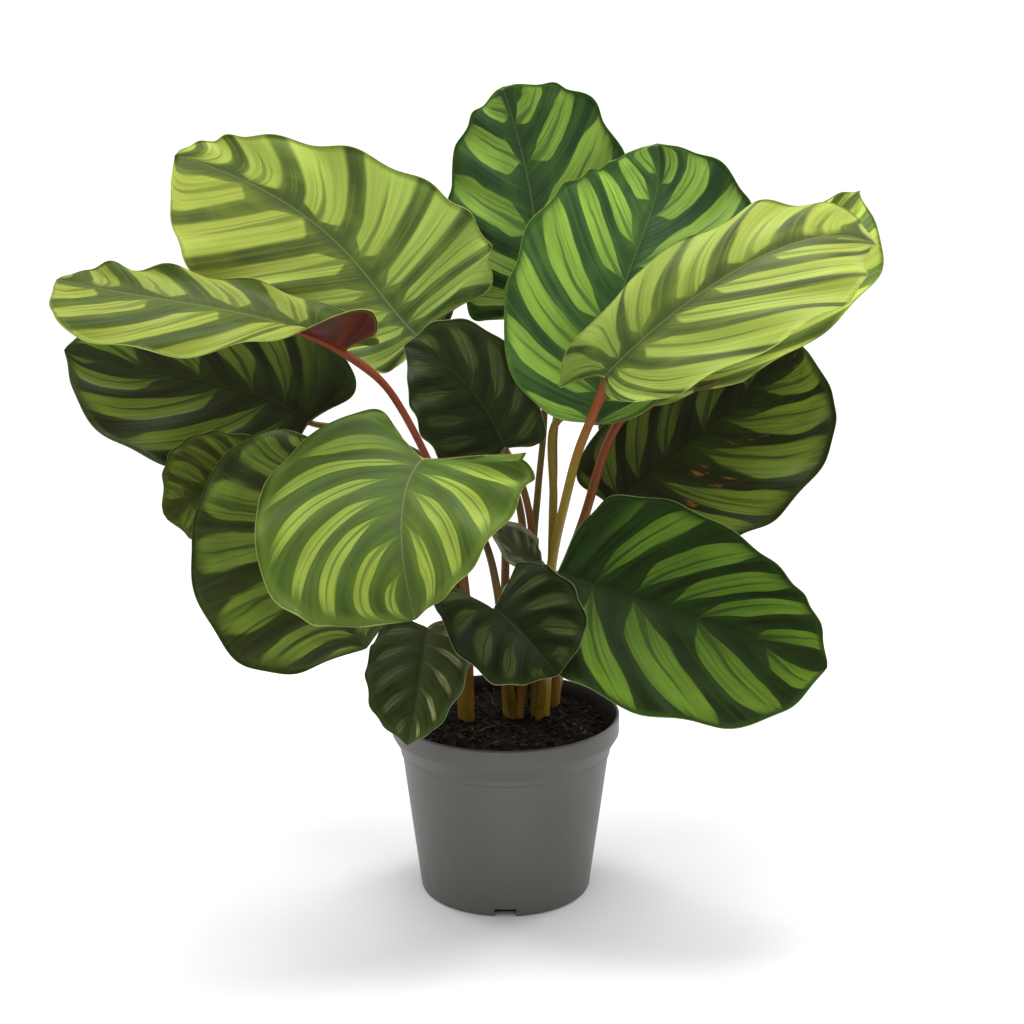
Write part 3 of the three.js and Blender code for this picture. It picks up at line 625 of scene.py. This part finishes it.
class Term:
    """What a node gives. Written with + - * ** and abs, it makes the node that works the result out."""

    def __init__(self, graph, socket):
        self.graph = graph
        self.socket = socket

    def __add__(self, other):
        return self.graph.math("ADD", self, other)

    def __sub__(self, other):
        return self.graph.math("SUBTRACT", self, other)

    def __rsub__(self, other):
        return self.graph.math("SUBTRACT", other, self)

    def __mul__(self, other):
        return self.graph.math("MULTIPLY", self, other)

    def __pow__(self, other):
        return self.graph.math("POWER", self, other)

    def __abs__(self):
        return self.graph.math("ABSOLUTE", self)

    __radd__ = __add__
    __rmul__ = __mul__


def between(share, first, last):
    """The number first where share is 0, last where it is 1."""
    return first + share * (last - first)


class Graph:
    """A material's nodes, made by short calls. A value that is a term is linked, and any other is set."""

    def __init__(self, name):
        self.material = bpy.data.materials.new(name)
        self.material.use_nodes = True
        self.tree = self.material.node_tree
        self.tree.nodes.clear()

    def node(self, kind, values, **settings):
        node = self.tree.nodes.new("ShaderNode" + kind)
        for key, value in settings.items():
            setattr(node, key, value)
        for key, value in values.items():
            if isinstance(value, Term):
                self.tree.links.new(value.socket, node.inputs[key])
            else:
                node.inputs[key].default_value = value
        return node

    def term(self, kind, values, output=0, **settings):
        return Term(self, self.node(kind, values, **settings).outputs[output])

    def math(self, operation, a, b=0.0):
        return self.term("Math", {0: a, 1: b}, operation=operation)

    def smooth(self, x, low, high):
        """0 up to low, 1 past high."""
        values = {"Value": x, "From Min": low, "From Max": high}
        return self.term("MapRange", values, interpolation_type="SMOOTHSTEP")

    def within(self, x, low, high):
        """1 up to low, 0 past high."""
        return 1.0 - self.smooth(x, low, high)

    def mix(self, share, first, second, blend="MIX"):
        """The colour first where share is 0, second where it is 1."""
        values = {0: share, 6: first, 7: second}
        return self.term("Mix", values, 2, data_type="RGBA", blend_type=blend)

    def attribute(self, name):
        return self.term("Attribute", {}, "Fac", attribute_name=name)

    def vector(self, x, y, z):
        return self.term("CombineXYZ", {0: x, 1: y, 2: z})

    def spot(self):
        return self.term("TexCoord", {}, "Object")

    def noise(self, place, scale=1.0, detail=2.0, rough=0.5):
        values = {"Vector": place, "Scale": scale, "Detail": detail, "Roughness": rough}
        return self.term("TexNoise", values, "Fac")

    def random(self, number):
        return self.term("TexWhiteNoise", {"W": number}, "Value", noise_dimensions="1D")

    def surface(self, colour, roughness, gloss, bump=None, depth=0.0, distance=0.0):
        values = {"Base Color": colour, "Roughness": roughness, "Specular IOR Level": gloss}
        if bump is not None:
            relief = {"Height": bump, "Strength": depth, "Distance": distance * MM}
            values["Normal"] = self.term("Bump", relief)
        shader = self.node("BsdfPrincipled", values)
        out = self.node("OutputMaterial", {})
        self.tree.links.new(shader.outputs[0], out.inputs[0])
        return self.material


def leaf_upper(name, leaf, seed):
    g = Graph(name)
    look = LOOKS[leaf["look"]]
    feather, across, along = g.attribute("feather"), g.attribute("across"), g.attribute("along")
    from_edge, from_rib = g.attribute("from_edge"), g.attribute("from_rib")
    keys = ("feather", "band", "core", "zone", "margin", "rib", "edge")
    bright, band, core, beside_rib, green, rib_line, edge = (paint(*look[key]) for key in keys)
    right_half = g.math("GREATER_THAN", feather, HALF_STEP / 2)

    def streaks(along_ribs, outwards, shift, detail, rough=0.5):
        """Noise, and how often it changes from feather to feather and from the midrib outwards."""
        spot = g.vector(feather * along_ribs, across * outwards, seed + shift)
        return g.noise(spot, 1.0, detail, rough)

    # how far a point is from its feather's middle, 0 there and 1 midway to the next, with slow unevenness
    wander = streaks(1.3, 1.8, 0, 2.0)
    moved = feather + (wander - 0.5) * look["stray"]
    number = g.math("ROUND", moved)
    own = g.random(number + seed)
    other = g.random(number + (seed + 50))
    apart = moved - number
    off = abs(apart) * 2.0

    # streaks that run with the veins, from broad to very thin, and blotches
    broad = streaks(5.0, 0.7, 3, 2.0)
    fine = streaks(15.0, 0.8, 7, 3.0, 0.6)
    thin = streaks(11.0, 0.55, 17, 1.0)
    blotch = streaks(0.8, 2.4, 11, 3.0)

    # the feather: pointed at the midrib, widest past the middle, frayed and rounded off before the margin
    start = between(right_half, *[look["start"] + bare for bare in leaf["bare"]])
    grown = g.smooth(along - start, -0.1, 0.1)
    inner = other * 0.1 + (look["inner"] - 0.06)
    grows = g.smooth(across, inner, inner + look["point"])
    reach = across + (fine - 0.5) * 0.3 + off * off * 0.1
    tapers = g.within(across, look["outer"] - 0.3, look["outer"] + 0.14) ** 0.5
    fades = g.within(reach, look["outer"] - 0.14, look["outer"] + 0.06)
    merge = between(right_half, *leaf["merge"]) * g.smooth(across, 0.3, 0.95)
    width = grows * tapers * look["share"] * (0.82 + own * 0.36) + merge
    frayed = width - off + (fine - 0.5) * look["fray"]
    pale = g.smooth(frayed, -look["soft"] / 2, look["soft"] / 2)

    # dark lines along its vein, a wedge at the midrib and thin further out
    aside = abs(apart - (own - 0.5) * 0.1)
    wedge = (1.0 - across) ** 2.0
    line_width = 0.016 + wedge * 0.1
    line = g.within(aside, line_width * 0.4, line_width + 0.014) * g.within(across, 0.6, 1.05)
    second = abs(abs(apart) - (0.11 + own * 0.05))
    second = g.within(second, 0.006, 0.022) * g.smooth(broad, 0.42, 0.6)
    second = second * g.within(across, 0.5, 0.9)
    strands = g.smooth(thin, 0.53, 0.63) * g.within(across, 0.7, 1.1)

    # dark bands, and the pale feathers over them
    band = g.mix(g.smooth(off, 0.55, 0.95), band, core)
    band = g.mix(g.smooth(blotch, 0.4, 0.75) * 0.4, band, green)
    band = g.mix(g.within(thin, 0.36, 0.46) * 0.3, band, green)
    bright = g.mix(g.smooth(blotch, 0.35, 0.75) * 0.45, bright, green)
    bright = g.mix(g.within(across, 0.1, 0.75) * look["deepen"], bright, green)
    share = pale * fades * grown
    for mark, dark in ((line, 0.7), (second, 0.5), (strands, look["strand"])):
        share = share * (1.0 - mark * dark)
    share = share * between(right_half, *leaf["strength"])
    colour = g.mix(share, band, bright)

    # margin, the zone along the midrib, and rust in the right half from its third feather on
    margin = g.within(from_edge + (fine - 0.5) * 3.0, look["rim"] * 0.5, look["rim"] * 1.5)
    colour = g.mix(margin * 0.8, colour, green)
    zone = g.within(from_rib - (off - 0.5) * 5.0, 1.0, 6.5)
    colour = g.mix(zone * 0.8, colour, beside_rib)
    if leaf["rust"]:
        speck = g.smooth(streaks(9.0, 6.0, 31, 3.0), 0.58, 0.66) * g.smooth(off, 0.45, 0.8)
        speck = speck * g.smooth(across, 0.16, 0.24) * g.within(across, 0.4, 0.6)
        speck = speck * g.smooth(feather, HALF_STEP + 2.0, HALF_STEP + 2.5)
        colour = g.mix(speck * leaf["rust"], colour, paint(140, 92, 48))

    # pale and dark of the streaks, then the leaf's tone, its own lightness together with painted light and
    # shade, and its warmth
    shade = g.smooth(fine, 0.3, 0.7) + g.smooth(broad, 0.3, 0.7) * 0.6
    shade = (shade - 0.8) * look["streak"] + (0.88 + blotch * 0.24)
    tone = between(right_half, *leaf["tone"])
    tone = tone * (1 + (along - 0.5) * leaf["fade"])
    warm = between(right_half, *[between(along, *ends) for ends in leaf["warm"]])
    shade = shade * tone
    tint = g.vector(shade * (1.0 + warm), shade, shade * (1.0 - warm))
    colour = g.mix(1.0, colour, tint, "MULTIPLY")

    rib_width = 0.9 - along * 0.65
    rib = g.within(from_rib, rib_width * 0.4, rib_width)
    colour = g.mix(rib * 0.8, colour, rib_line)
    colour = g.mix(g.within(from_edge, 0.1, 0.5) * 0.6, colour, edge)

    veins = g.math("SINE", feather * (FULL_TURN * VEINS))
    height = fine + veins * 0.12 - line * 0.4
    return g.surface(colour, 0.4 + fine * 0.16, leaf["shine"], height, depth=0.4, distance=0.4)


def leaf_under():
    g = Graph("leaf_underside")
    feather, across = g.attribute("feather"), g.attribute("across")
    from_edge, from_rib = g.attribute("from_edge"), g.attribute("from_rib")
    off = g.math("PINGPONG", feather, 0.5) * 2.0
    streak = g.noise(g.vector(feather * 9.0, across * 0.9, 3.0), detail=3.0)
    pale = g.smooth(0.5 - off, -0.1, 0.3)
    vein = g.within(off, 0.02, 0.08) * g.within(across, 0.6, 1.0)
    colour = g.mix(pale * 0.5, paint(84, 34, 28), paint(112, 54, 42))
    colour = g.mix(streak * 0.4, colour, paint(66, 28, 20))
    colour = g.mix(vein * 0.2, colour, paint(116, 60, 40))
    colour = g.mix(g.within(from_edge, 0.4, 2.6), colour, paint(98, 84, 44))
    colour = g.mix(g.within(from_rib, 0.5, 3.0), colour, paint(116, 56, 34))
    veins = g.math("SINE", feather * (FULL_TURN * VEINS))
    height = streak + veins * 0.2
    return g.surface(colour, 0.45 + streak * 0.15, 0.25, height, depth=0.4, distance=0.4)


def petiole_material():
    g = Graph("petiole_skin")
    rise, red, tone, around = (g.attribute(key) for key in ("rise", "red", "tone", "around"))
    fibre = g.noise(g.vector(around * 5.0, rise * 3.0, tone * 50.0), detail=4.0)
    spots = g.noise(g.vector(around * 3.0, rise * 26.0, tone * 40.0))
    olive = g.mix(fibre, paint(150, 135, 38), paint(108, 92, 28))
    crimson = g.mix(fibre, paint(146, 70, 38), paint(104, 42, 22))
    colour = g.mix(red, olive, crimson)
    colour = g.mix(1.0, colour, g.vector(tone, tone, tone), "MULTIPLY")
    foot = g.mix(fibre, paint(180, 152, 60), paint(126, 101, 38))
    colour = g.mix(g.within(rise, 0.04, 0.3) * 0.8, colour, foot)
    colour = g.mix(g.smooth(spots, 0.55, 0.75) * 0.35, colour, paint(62, 34, 20))
    colour = g.mix(g.within(rise, 0.03, 0.12) * 0.7, colour, paint(62, 38, 20))
    return g.surface(colour, 0.36 + fibre * 0.2, 0.35, fibre, depth=0.3, distance=0.4)


def pot_material():
    g = Graph("pot_plastic")
    spot = g.spot()
    grain = g.noise(spot, 1600.0, 3.0)
    cloud = g.noise(spot, 26.0, 3.0)
    drawn_down = g.term("Mapping", {"Vector": spot, "Scale": (1, 1, 0.12)})
    scuff = g.noise(drawn_down, 190.0, 4.0, 0.6)
    colour = g.mix(cloud, paint(69, 69, 72), paint(77, 77, 80))
    colour = g.mix(g.smooth(scuff, 0.62, 0.8) * 0.25, colour, paint(110, 112, 118))

    # the inside of the rim band is darker: dark from the band's bottom up past the soil, fading out
    # towards the rim's top
    x, y, z = (Term(g, socket) for socket in g.node("SeparateXYZ", {0: spot}).outputs)
    radius = g.math("SQRT", x * x + y * y)
    inside = RIM_RADIUS - WALL
    inner_wall_dark = g.within(radius, (inside + 0.1) * MM, (inside + 0.4) * MM)
    inner_wall_dark = inner_wall_dark * g.smooth(z, BAND_BOTTOM * MM, (BAND_BOTTOM + 1) * MM)
    inner_wall_dark = inner_wall_dark * g.within(z, (SOIL_TOP + 1) * MM, (POT_HEIGHT + 3) * MM)
    colour = g.mix(inner_wall_dark, colour, paint(30, 28, 24))
    return g.surface(colour, 0.4 + grain * 0.14, 0.8, grain, depth=0.12, distance=0.12)


def soil_material():
    g = Graph("potting_soil")
    spot = g.spot()
    crumb = g.noise(spot, 420.0, 5.0, 0.65)
    patch = g.noise(spot, 90.0, 3.0)
    colour = g.mix(g.smooth(crumb, 0.35, 0.7), paint(10, 8, 6), paint(28, 22, 15))
    colour = g.mix(g.smooth(patch, 0.5, 0.8), colour, paint(30, 23, 16))
    return g.surface(colour, 0.9, 0.15, crumb, depth=0.8, distance=1.2)


def chip_material():
    g = Graph("bark_chips")
    grain = g.noise(g.spot(), 700.0, 4.0, 0.6)
    colour = g.mix(g.attribute("tone"), paint(20, 15, 10), paint(84, 62, 40))
    colour = g.mix(grain * 0.6, colour, paint(24, 18, 13))
    return g.surface(colour, 0.8, 0.2, grain, depth=0.5, distance=0.4)


# ---- petioles ----
RED_FROM = 0.72  # a petiole's red passes from low to high between these shares of its length
RED_TO = 0.9


def smooth_route(points, steps):
    """A smooth curve in even steps through all points but the last, which only bends its end."""
    points = [np.array(p, float) for p in points]
    padded = [2 * points[0] - points[1], *points]
    dense = []
    for i in range(1, len(padded) - 2):
        p0, p1, p2, p3 = padded[i - 1 : i + 3]
        d0, d1, d2 = (np.linalg.norm(b - a) ** 0.5 for a, b in ((p0, p1), (p1, p2), (p2, p3)))
        m1 = ((p1 - p0) / d0 - (p2 - p0) / (d0 + d1) + (p2 - p1) / d1) * d1
        m2 = ((p2 - p1) / d1 - (p3 - p1) / (d1 + d2) + (p3 - p2) / d2) * d1
        for q in np.arange(CURVE_STEPS) / CURVE_STEPS:
            curve = p1 + m1 * q + (-3 * p1 + 3 * p2 - 2 * m1 - m2) * q**2
            dense.append(curve + (2 * p1 - 2 * p2 + m1 + m2) * q**3)
    dense.append(padded[-2])
    dense = np.array(dense)
    reach = np.concatenate([[0], np.cumsum(np.linalg.norm(np.diff(dense, axis=0), axis=1))])
    wanted = np.linspace(0, reach[-1], steps + 1)
    return np.stack([np.interp(wanted, reach, dense[:, c]) for c in range(3)], 1)


def stalk_path(leaf, crown):
    """Points, radii and heights of a petiole and, past 1, of the midrib under its leaf."""
    top = leaf["stalk_radius"]
    foot = np.array([*crown, CROWN_BOTTOM + 6], float)
    lean = np.array(leaf["stalk"][0], float) - foot
    lean[2] = 0
    leave = foot + unit(lean) * STALK_SPREAD
    leave[2] = SOIL_TOP + 2

    def under_rib(u, radius):
        _, normal, _ = rib_frame(leaf, u)
        sunk = RIB_SUNK + GROOVE * swell(np.sqrt(u))
        return rib_at(leaf, u) - normal * np.asarray(sunk + radius)[..., None]

    route = [foot, leave, *leaf["stalk"], under_rib(0.0, top), under_rib(0.14, top * 0.8)]
    petiole = smooth_route(route, STALK_STEPS)
    s = np.linspace(0, 1, STALK_STEPS + 1)
    knee = 0.16 * np.exp(-(((s - 0.95) / 0.035) ** 2))
    radii = top * (1 + knee) + (STALK_FOOT_RADIUS + 1.3 - top) * (1 - s) ** 2.6
    u = np.linspace(0.02, RIB_END, RIB_STEPS)
    rib_radii = top + (RIB_END_RADIUS - top) * u**0.6
    return (
        np.concatenate([petiole, under_rib(u, rib_radii)]),
        np.concatenate([radii, rib_radii]),
        np.concatenate([s, 1 + u]),
    )


def tube(points, radii, turns):
    """Rings round a path, with a point at each turn, carried along without twist."""
    across = np.array([1.0, 0, 0])
    rings = []
    for i, p in enumerate(points):
        along = unit(points[min(i + 1, len(points) - 1)] - points[max(i - 1, 0)])
        across = unit(across - along * (across @ along))
        other = np.cross(along, across)
        rings.append(p + radii[i] * (np.cos(turns)[:, None] * across + np.sin(turns)[:, None] * other))
    return np.concatenate(rings)


def make_shoot(name, shoot, material):
    turns = np.arange(STALK_SIDES) * FULL_TURN / STALK_SIDES
    points, faces, rise, red, tone, around = [], [], [], [], [], []
    for key in shoot["leaves"]:
        leaf = LEAVES[key]
        path, radii, heights = stalk_path(leaf, shoot["crown"])
        start = sum(len(p) for p in points)
        points.append(tube(path, radii, turns))
        rings = (start + np.arange(len(path) * STALK_SIDES)).reshape(-1, STALK_SIDES).tolist()
        faces += [*between_rings(rings), rings[0][::-1], rings[-1]]
        low, high = leaf["red"]
        share = np.clip((heights - RED_FROM) / (RED_TO - RED_FROM), 0, 1)
        rise.append(np.repeat(heights, STALK_SIDES))
        red.append(np.repeat(low + (high - low) * share, STALK_SIDES))
        tone.append(np.full(len(path) * STALK_SIDES, leaf["stalk_tone"]))
        around.append(np.tile(np.sin(turns), len(path)))
    thing = mesh_object("calathea_shoot_" + name, np.concatenate(points), faces, [material])
    rise, red, tone, around = (np.concatenate(values) for values in (rise, red, tone, around))
    write_attributes(thing, "POINT", rise=rise, red=red, tone=tone, around=around)
    place(thing, ["shoot_" + name], "petiole")


# ---- pot ----
def rounded(profile, radius, steps):
    """The profile with each inner corner cut by a small arc."""
    out = [np.array(profile[0], float)]
    for before, here, after in zip(profile, profile[1:], profile[2:]):
        before, here, after = (np.array(p, float) for p in (before, here, after))
        cut = min(radius, 0.4 * np.linalg.norm(here - before), 0.4 * np.linalg.norm(after - here))
        start = here + unit(before - here) * cut
        end = here + unit(after - here) * cut
        for q in np.linspace(0, 1, steps + 1):
            out.append((1 - q) ** 2 * start + 2 * q * (1 - q) * here + q * q * end)
    out.append(np.array(profile[-1], float))
    return out


def turned(profile, segments):
    """Points and faces of a closed profile of (radius, height) turned round the Z axis."""
    points, rings = [], []
    for radius, height in profile:
        if radius < 1e-6:
            points.append((0, 0, height))
            rings.append([len(points) - 1] * segments)
            continue
        rings.append(list(range(len(points), len(points) + segments)))
        for j in range(segments):
            turn = j * FULL_TURN / segments
            points.append((radius * math.cos(turn), radius * math.sin(turn), height))
    return points, between_rings(rings)


def make_pot(material):
    recess_inner, recess_outer = RECESS
    outside = [
        (0, 0),
        (recess_inner, 0),
        (recess_inner + 1.5, RECESS_DEPTH),
        (recess_outer - 1.5, RECESS_DEPTH),
        (recess_outer, 0),
        (FOOT_RADIUS - FOOT_EDGE, 0),
        (FOOT_RADIUS + BODY_SLOPE * FOOT_EDGE, FOOT_EDGE),
        (BODY_TOP_RADIUS, COLLAR_BOTTOM),
        (COLLAR_RADIUS, COLLAR_BOTTOM + 0.6),
        (COLLAR_RADIUS + 0.2, COLLAR_TOP),
        (RIM_RADIUS - 0.6, BAND_BOTTOM),
        (RIM_RADIUS, BAND_BOTTOM + 1),
        (RIM_RADIUS, POT_HEIGHT - 0.6),
        (RIM_RADIUS - 0.5, POT_HEIGHT),
    ]
    inside = [
        (RIM_RADIUS - WALL, POT_HEIGHT),
        (RIM_RADIUS - WALL - 0.2, BAND_BOTTOM + 0.6),
        (COLLAR_RADIUS - WALL, COLLAR_TOP - 0.4),
        (BODY_TOP_RADIUS - WALL, COLLAR_BOTTOM),
        (FOOT_RADIUS + BODY_SLOPE * FLOOR - WALL, FLOOR),
        (0, FLOOR),
    ]
    points, faces = turned(rounded([*outside, *inside], POT_ROUNDING, 4), POT_SEGMENTS)
    pot = mesh_object("nursery_pot", points, faces, [material])
    cutters = []
    for i in range(NOTCHES):
        turn = i * FULL_TURN / NOTCHES
        bpy.ops.mesh.primitive_cube_add(size=1)
        cutter = bpy.context.object
        cutter.scale = Vector((NOTCH_WIDTH, NOTCH_DEPTH, NOTCH_HEIGHT * 2)) * MM
        cutter.location = Vector((0, 1 - FOOT_RADIUS, 0)) * MM
        cutter.location.rotate(Euler((0, 0, turn)))
        cutter.rotation_euler = (0, 0, turn)
        cutters.append(cutter)
        cut = pot.modifiers.new("notch", "BOOLEAN")
        cut.object = cutter
        cut.operation = "DIFFERENCE"
        cut.solver = "EXACT"
    bpy.context.view_layer.update()
    shaped = bpy.data.meshes.new_from_object(pot.evaluated_get(bpy.context.evaluated_depsgraph_get()))
    pot.modifiers.clear()
    pot.data = shaped
    for cutter in cutters:
        bpy.data.objects.remove(cutter)
    shaped.set_sharp_from_angle(angle=math.radians(40))
    place(pot, ["pot"], "pot")


# ---- soil ----
BOX_FACES = ((0, 1, 3, 2), (4, 6, 7, 5), (0, 4, 5, 1), (2, 3, 7, 6), (0, 2, 6, 4), (1, 5, 7, 3))


def make_soil(material, chips):
    """A filled body with an uneven top, and loose bits of bark on it."""
    random.seed(7)

    def any_turn():
        return random.uniform(0, 6.28)

    waves = [(random.uniform(0.05, 0.5), any_turn(), any_turn()) for _ in range(24)]

    def height(x, y):
        lift = 0.0
        for frequency, direction, shift in waves:
            step = x * math.cos(direction) + y * math.sin(direction)
            lift += 0.16 / (0.3 + frequency) ** 0.5 * math.sin(step * frequency * 2 + shift)
        return lift

    def uneven(x, y, z):
        """The top is lifted by its height, less and less towards the wall."""
        if z == SOIL_TOP:
            z += height(x, y) * min(1, (SOIL_EDGE + 3 - math.hypot(x, y)) / 12)
        return x, y, z

    inset = WALL + SOIL_GAP
    bottom = FLOOR + SOIL_GAP
    profile = [
        (0, bottom),
        (FOOT_RADIUS + BODY_SLOPE * bottom - inset, bottom),
        (BODY_TOP_RADIUS - inset, COLLAR_BOTTOM - 0.4),
        (COLLAR_RADIUS - inset, COLLAR_TOP),
        (SOIL_EDGE, BAND_BOTTOM + 1.6),
        *[(SOIL_EDGE * i / SOIL_RINGS, SOIL_TOP) for i in range(SOIL_RINGS, 0, -1)],
        (0, SOIL_TOP),
    ]
    points, faces = turned(profile, SOIL_SPOKES)
    points = [uneven(*point) for point in points]
    kinds = [0] * len(faces)
    tones = [0.0] * len(points)
    for _ in range(CHIPS):
        turn, reach = any_turn(), (SOIL_EDGE - 2.5) * random.random() ** 0.5
        x, y = reach * math.cos(turn), reach * math.sin(turn)
        size = [random.uniform(0.9, 3.4), random.uniform(0.5, 1.4), random.uniform(0.25, 0.7)]
        spin = Euler([random.gauss(0, 0.45), random.gauss(0, 0.45), any_turn()])
        tone = random.random() ** 2.2
        start = len(points)
        for signs in itertools.product((-1, 1), repeat=3):
            corner = Vector([sign * s * random.uniform(0.55, 1.0) for sign, s in zip(signs, size)])
            corner.rotate(spin)
            points.append((x + corner.x, y + corner.y, SOIL_TOP + height(x, y) + 0.35 + corner.z))
            tones.append(tone)
        faces += [[start + n for n in corners] for corners in BOX_FACES]
        kinds += [1] * len(BOX_FACES)
    soil = mesh_object("potting_soil", points, faces, [material, chips], kinds)
    write_attributes(soil, "POINT", tone=tones)
    soil.data.set_sharp_from_angle(angle=math.radians(35))
    place(soil, ["soil"], "soil")


# ---- build ----
underside = leaf_under()
for number, (key, leaf) in enumerate(LEAVES.items()):
    make_leaf(key, leaf, leaf_upper("leaf_upper_" + key, leaf, 13.0 * number), underside)

skin = petiole_material()
for key, shoot in SHOOTS.items():
    make_shoot(key, shoot, skin)

make_pot(pot_material())
make_soil(soil_material(), chip_material())

# ---- camera ----
SENSOR = 36
FOCAL = 2000 / 1024  # focal length, as a share of the picture's width
PITCH = math.radians(14.3)
DISTANCE = 1.2
TARGET = Vector((0.004, 0, 0.2394))
camera_data = bpy.data.cameras.new("camera")
camera_data.sensor_width = SENSOR
camera_data.lens = FOCAL * SENSOR
camera_data.clip_start = 0.05
camera_data.clip_end = 50
camera = put_in_scene("camera", camera_data)
camera.location = TARGET + Vector((0, -math.cos(PITCH), math.sin(PITCH))) * DISTANCE
camera.rotation_euler = (math.pi / 2 - PITCH, 0, 0)
bpy.context.scene.camera = camera

# ---- floor and light ----
MIDDLE = (0, 0, 0.27)  # where the lights aim

# strength of the white surroundings: as a light, where they are only mirrored and where they are seen
AS_LIGHT = 0.86
AS_MIRRORED = 0.3
AS_SEEN = 1.15

bpy.ops.mesh.primitive_circle_add(vertices=96, radius=0.6, fill_type="NGON")
floor = bpy.context.object
floor.name = "studio_floor"
floor.data.materials.append(Graph("studio_floor").surface((0.9, 0.9, 0.9, 1), 0.9, 0.5))


def softbox(name, spot, size, power):
    light = bpy.data.lights.new(name, "AREA")
    light.shape = "RECTANGLE"
    light.size, light.size_y = size
    light.energy = power
    thing = put_in_scene(name, light)
    thing.location = spot
    thing.rotation_euler = (Vector(spot) - Vector(MIDDLE)).to_track_quat("Z", "Y").to_euler()


softbox("overhead", (0, 0.15, 1.6), (1.0, 0.85), 21)
softbox("back_right", (1.3, 1.0, 0.9), (0.8, 1.0), 9)
softbox("back_left", (-1.3, 1.0, 0.9), (0.8, 1.0), 8)

world = bpy.data.worlds.new("studio")
world.use_nodes = True
tree = world.node_tree
background = tree.nodes["Background"]
background.inputs["Color"].default_value = (1, 1, 1, 1)
ray = tree.nodes.new("ShaderNodeLightPath")
steps = []
for kind, strength in (("Is Glossy Ray", AS_MIRRORED), ("Is Camera Ray", AS_SEEN)):
    step = tree.nodes.new("ShaderNodeMath")
    step.operation = "MULTIPLY_ADD"
    step.inputs[1].default_value = strength - AS_LIGHT
    step.inputs[2].default_value = AS_LIGHT
    tree.links.new(ray.outputs[kind], step.inputs[0])
    steps.append(step)
tree.links.new(steps[0].outputs[0], steps[1].inputs[2])
tree.links.new(steps[1].outputs[0], background.inputs["Strength"])
bpy.context.scene.world = world
bpy.context.scene.view_settings.view_transform = "Standard"
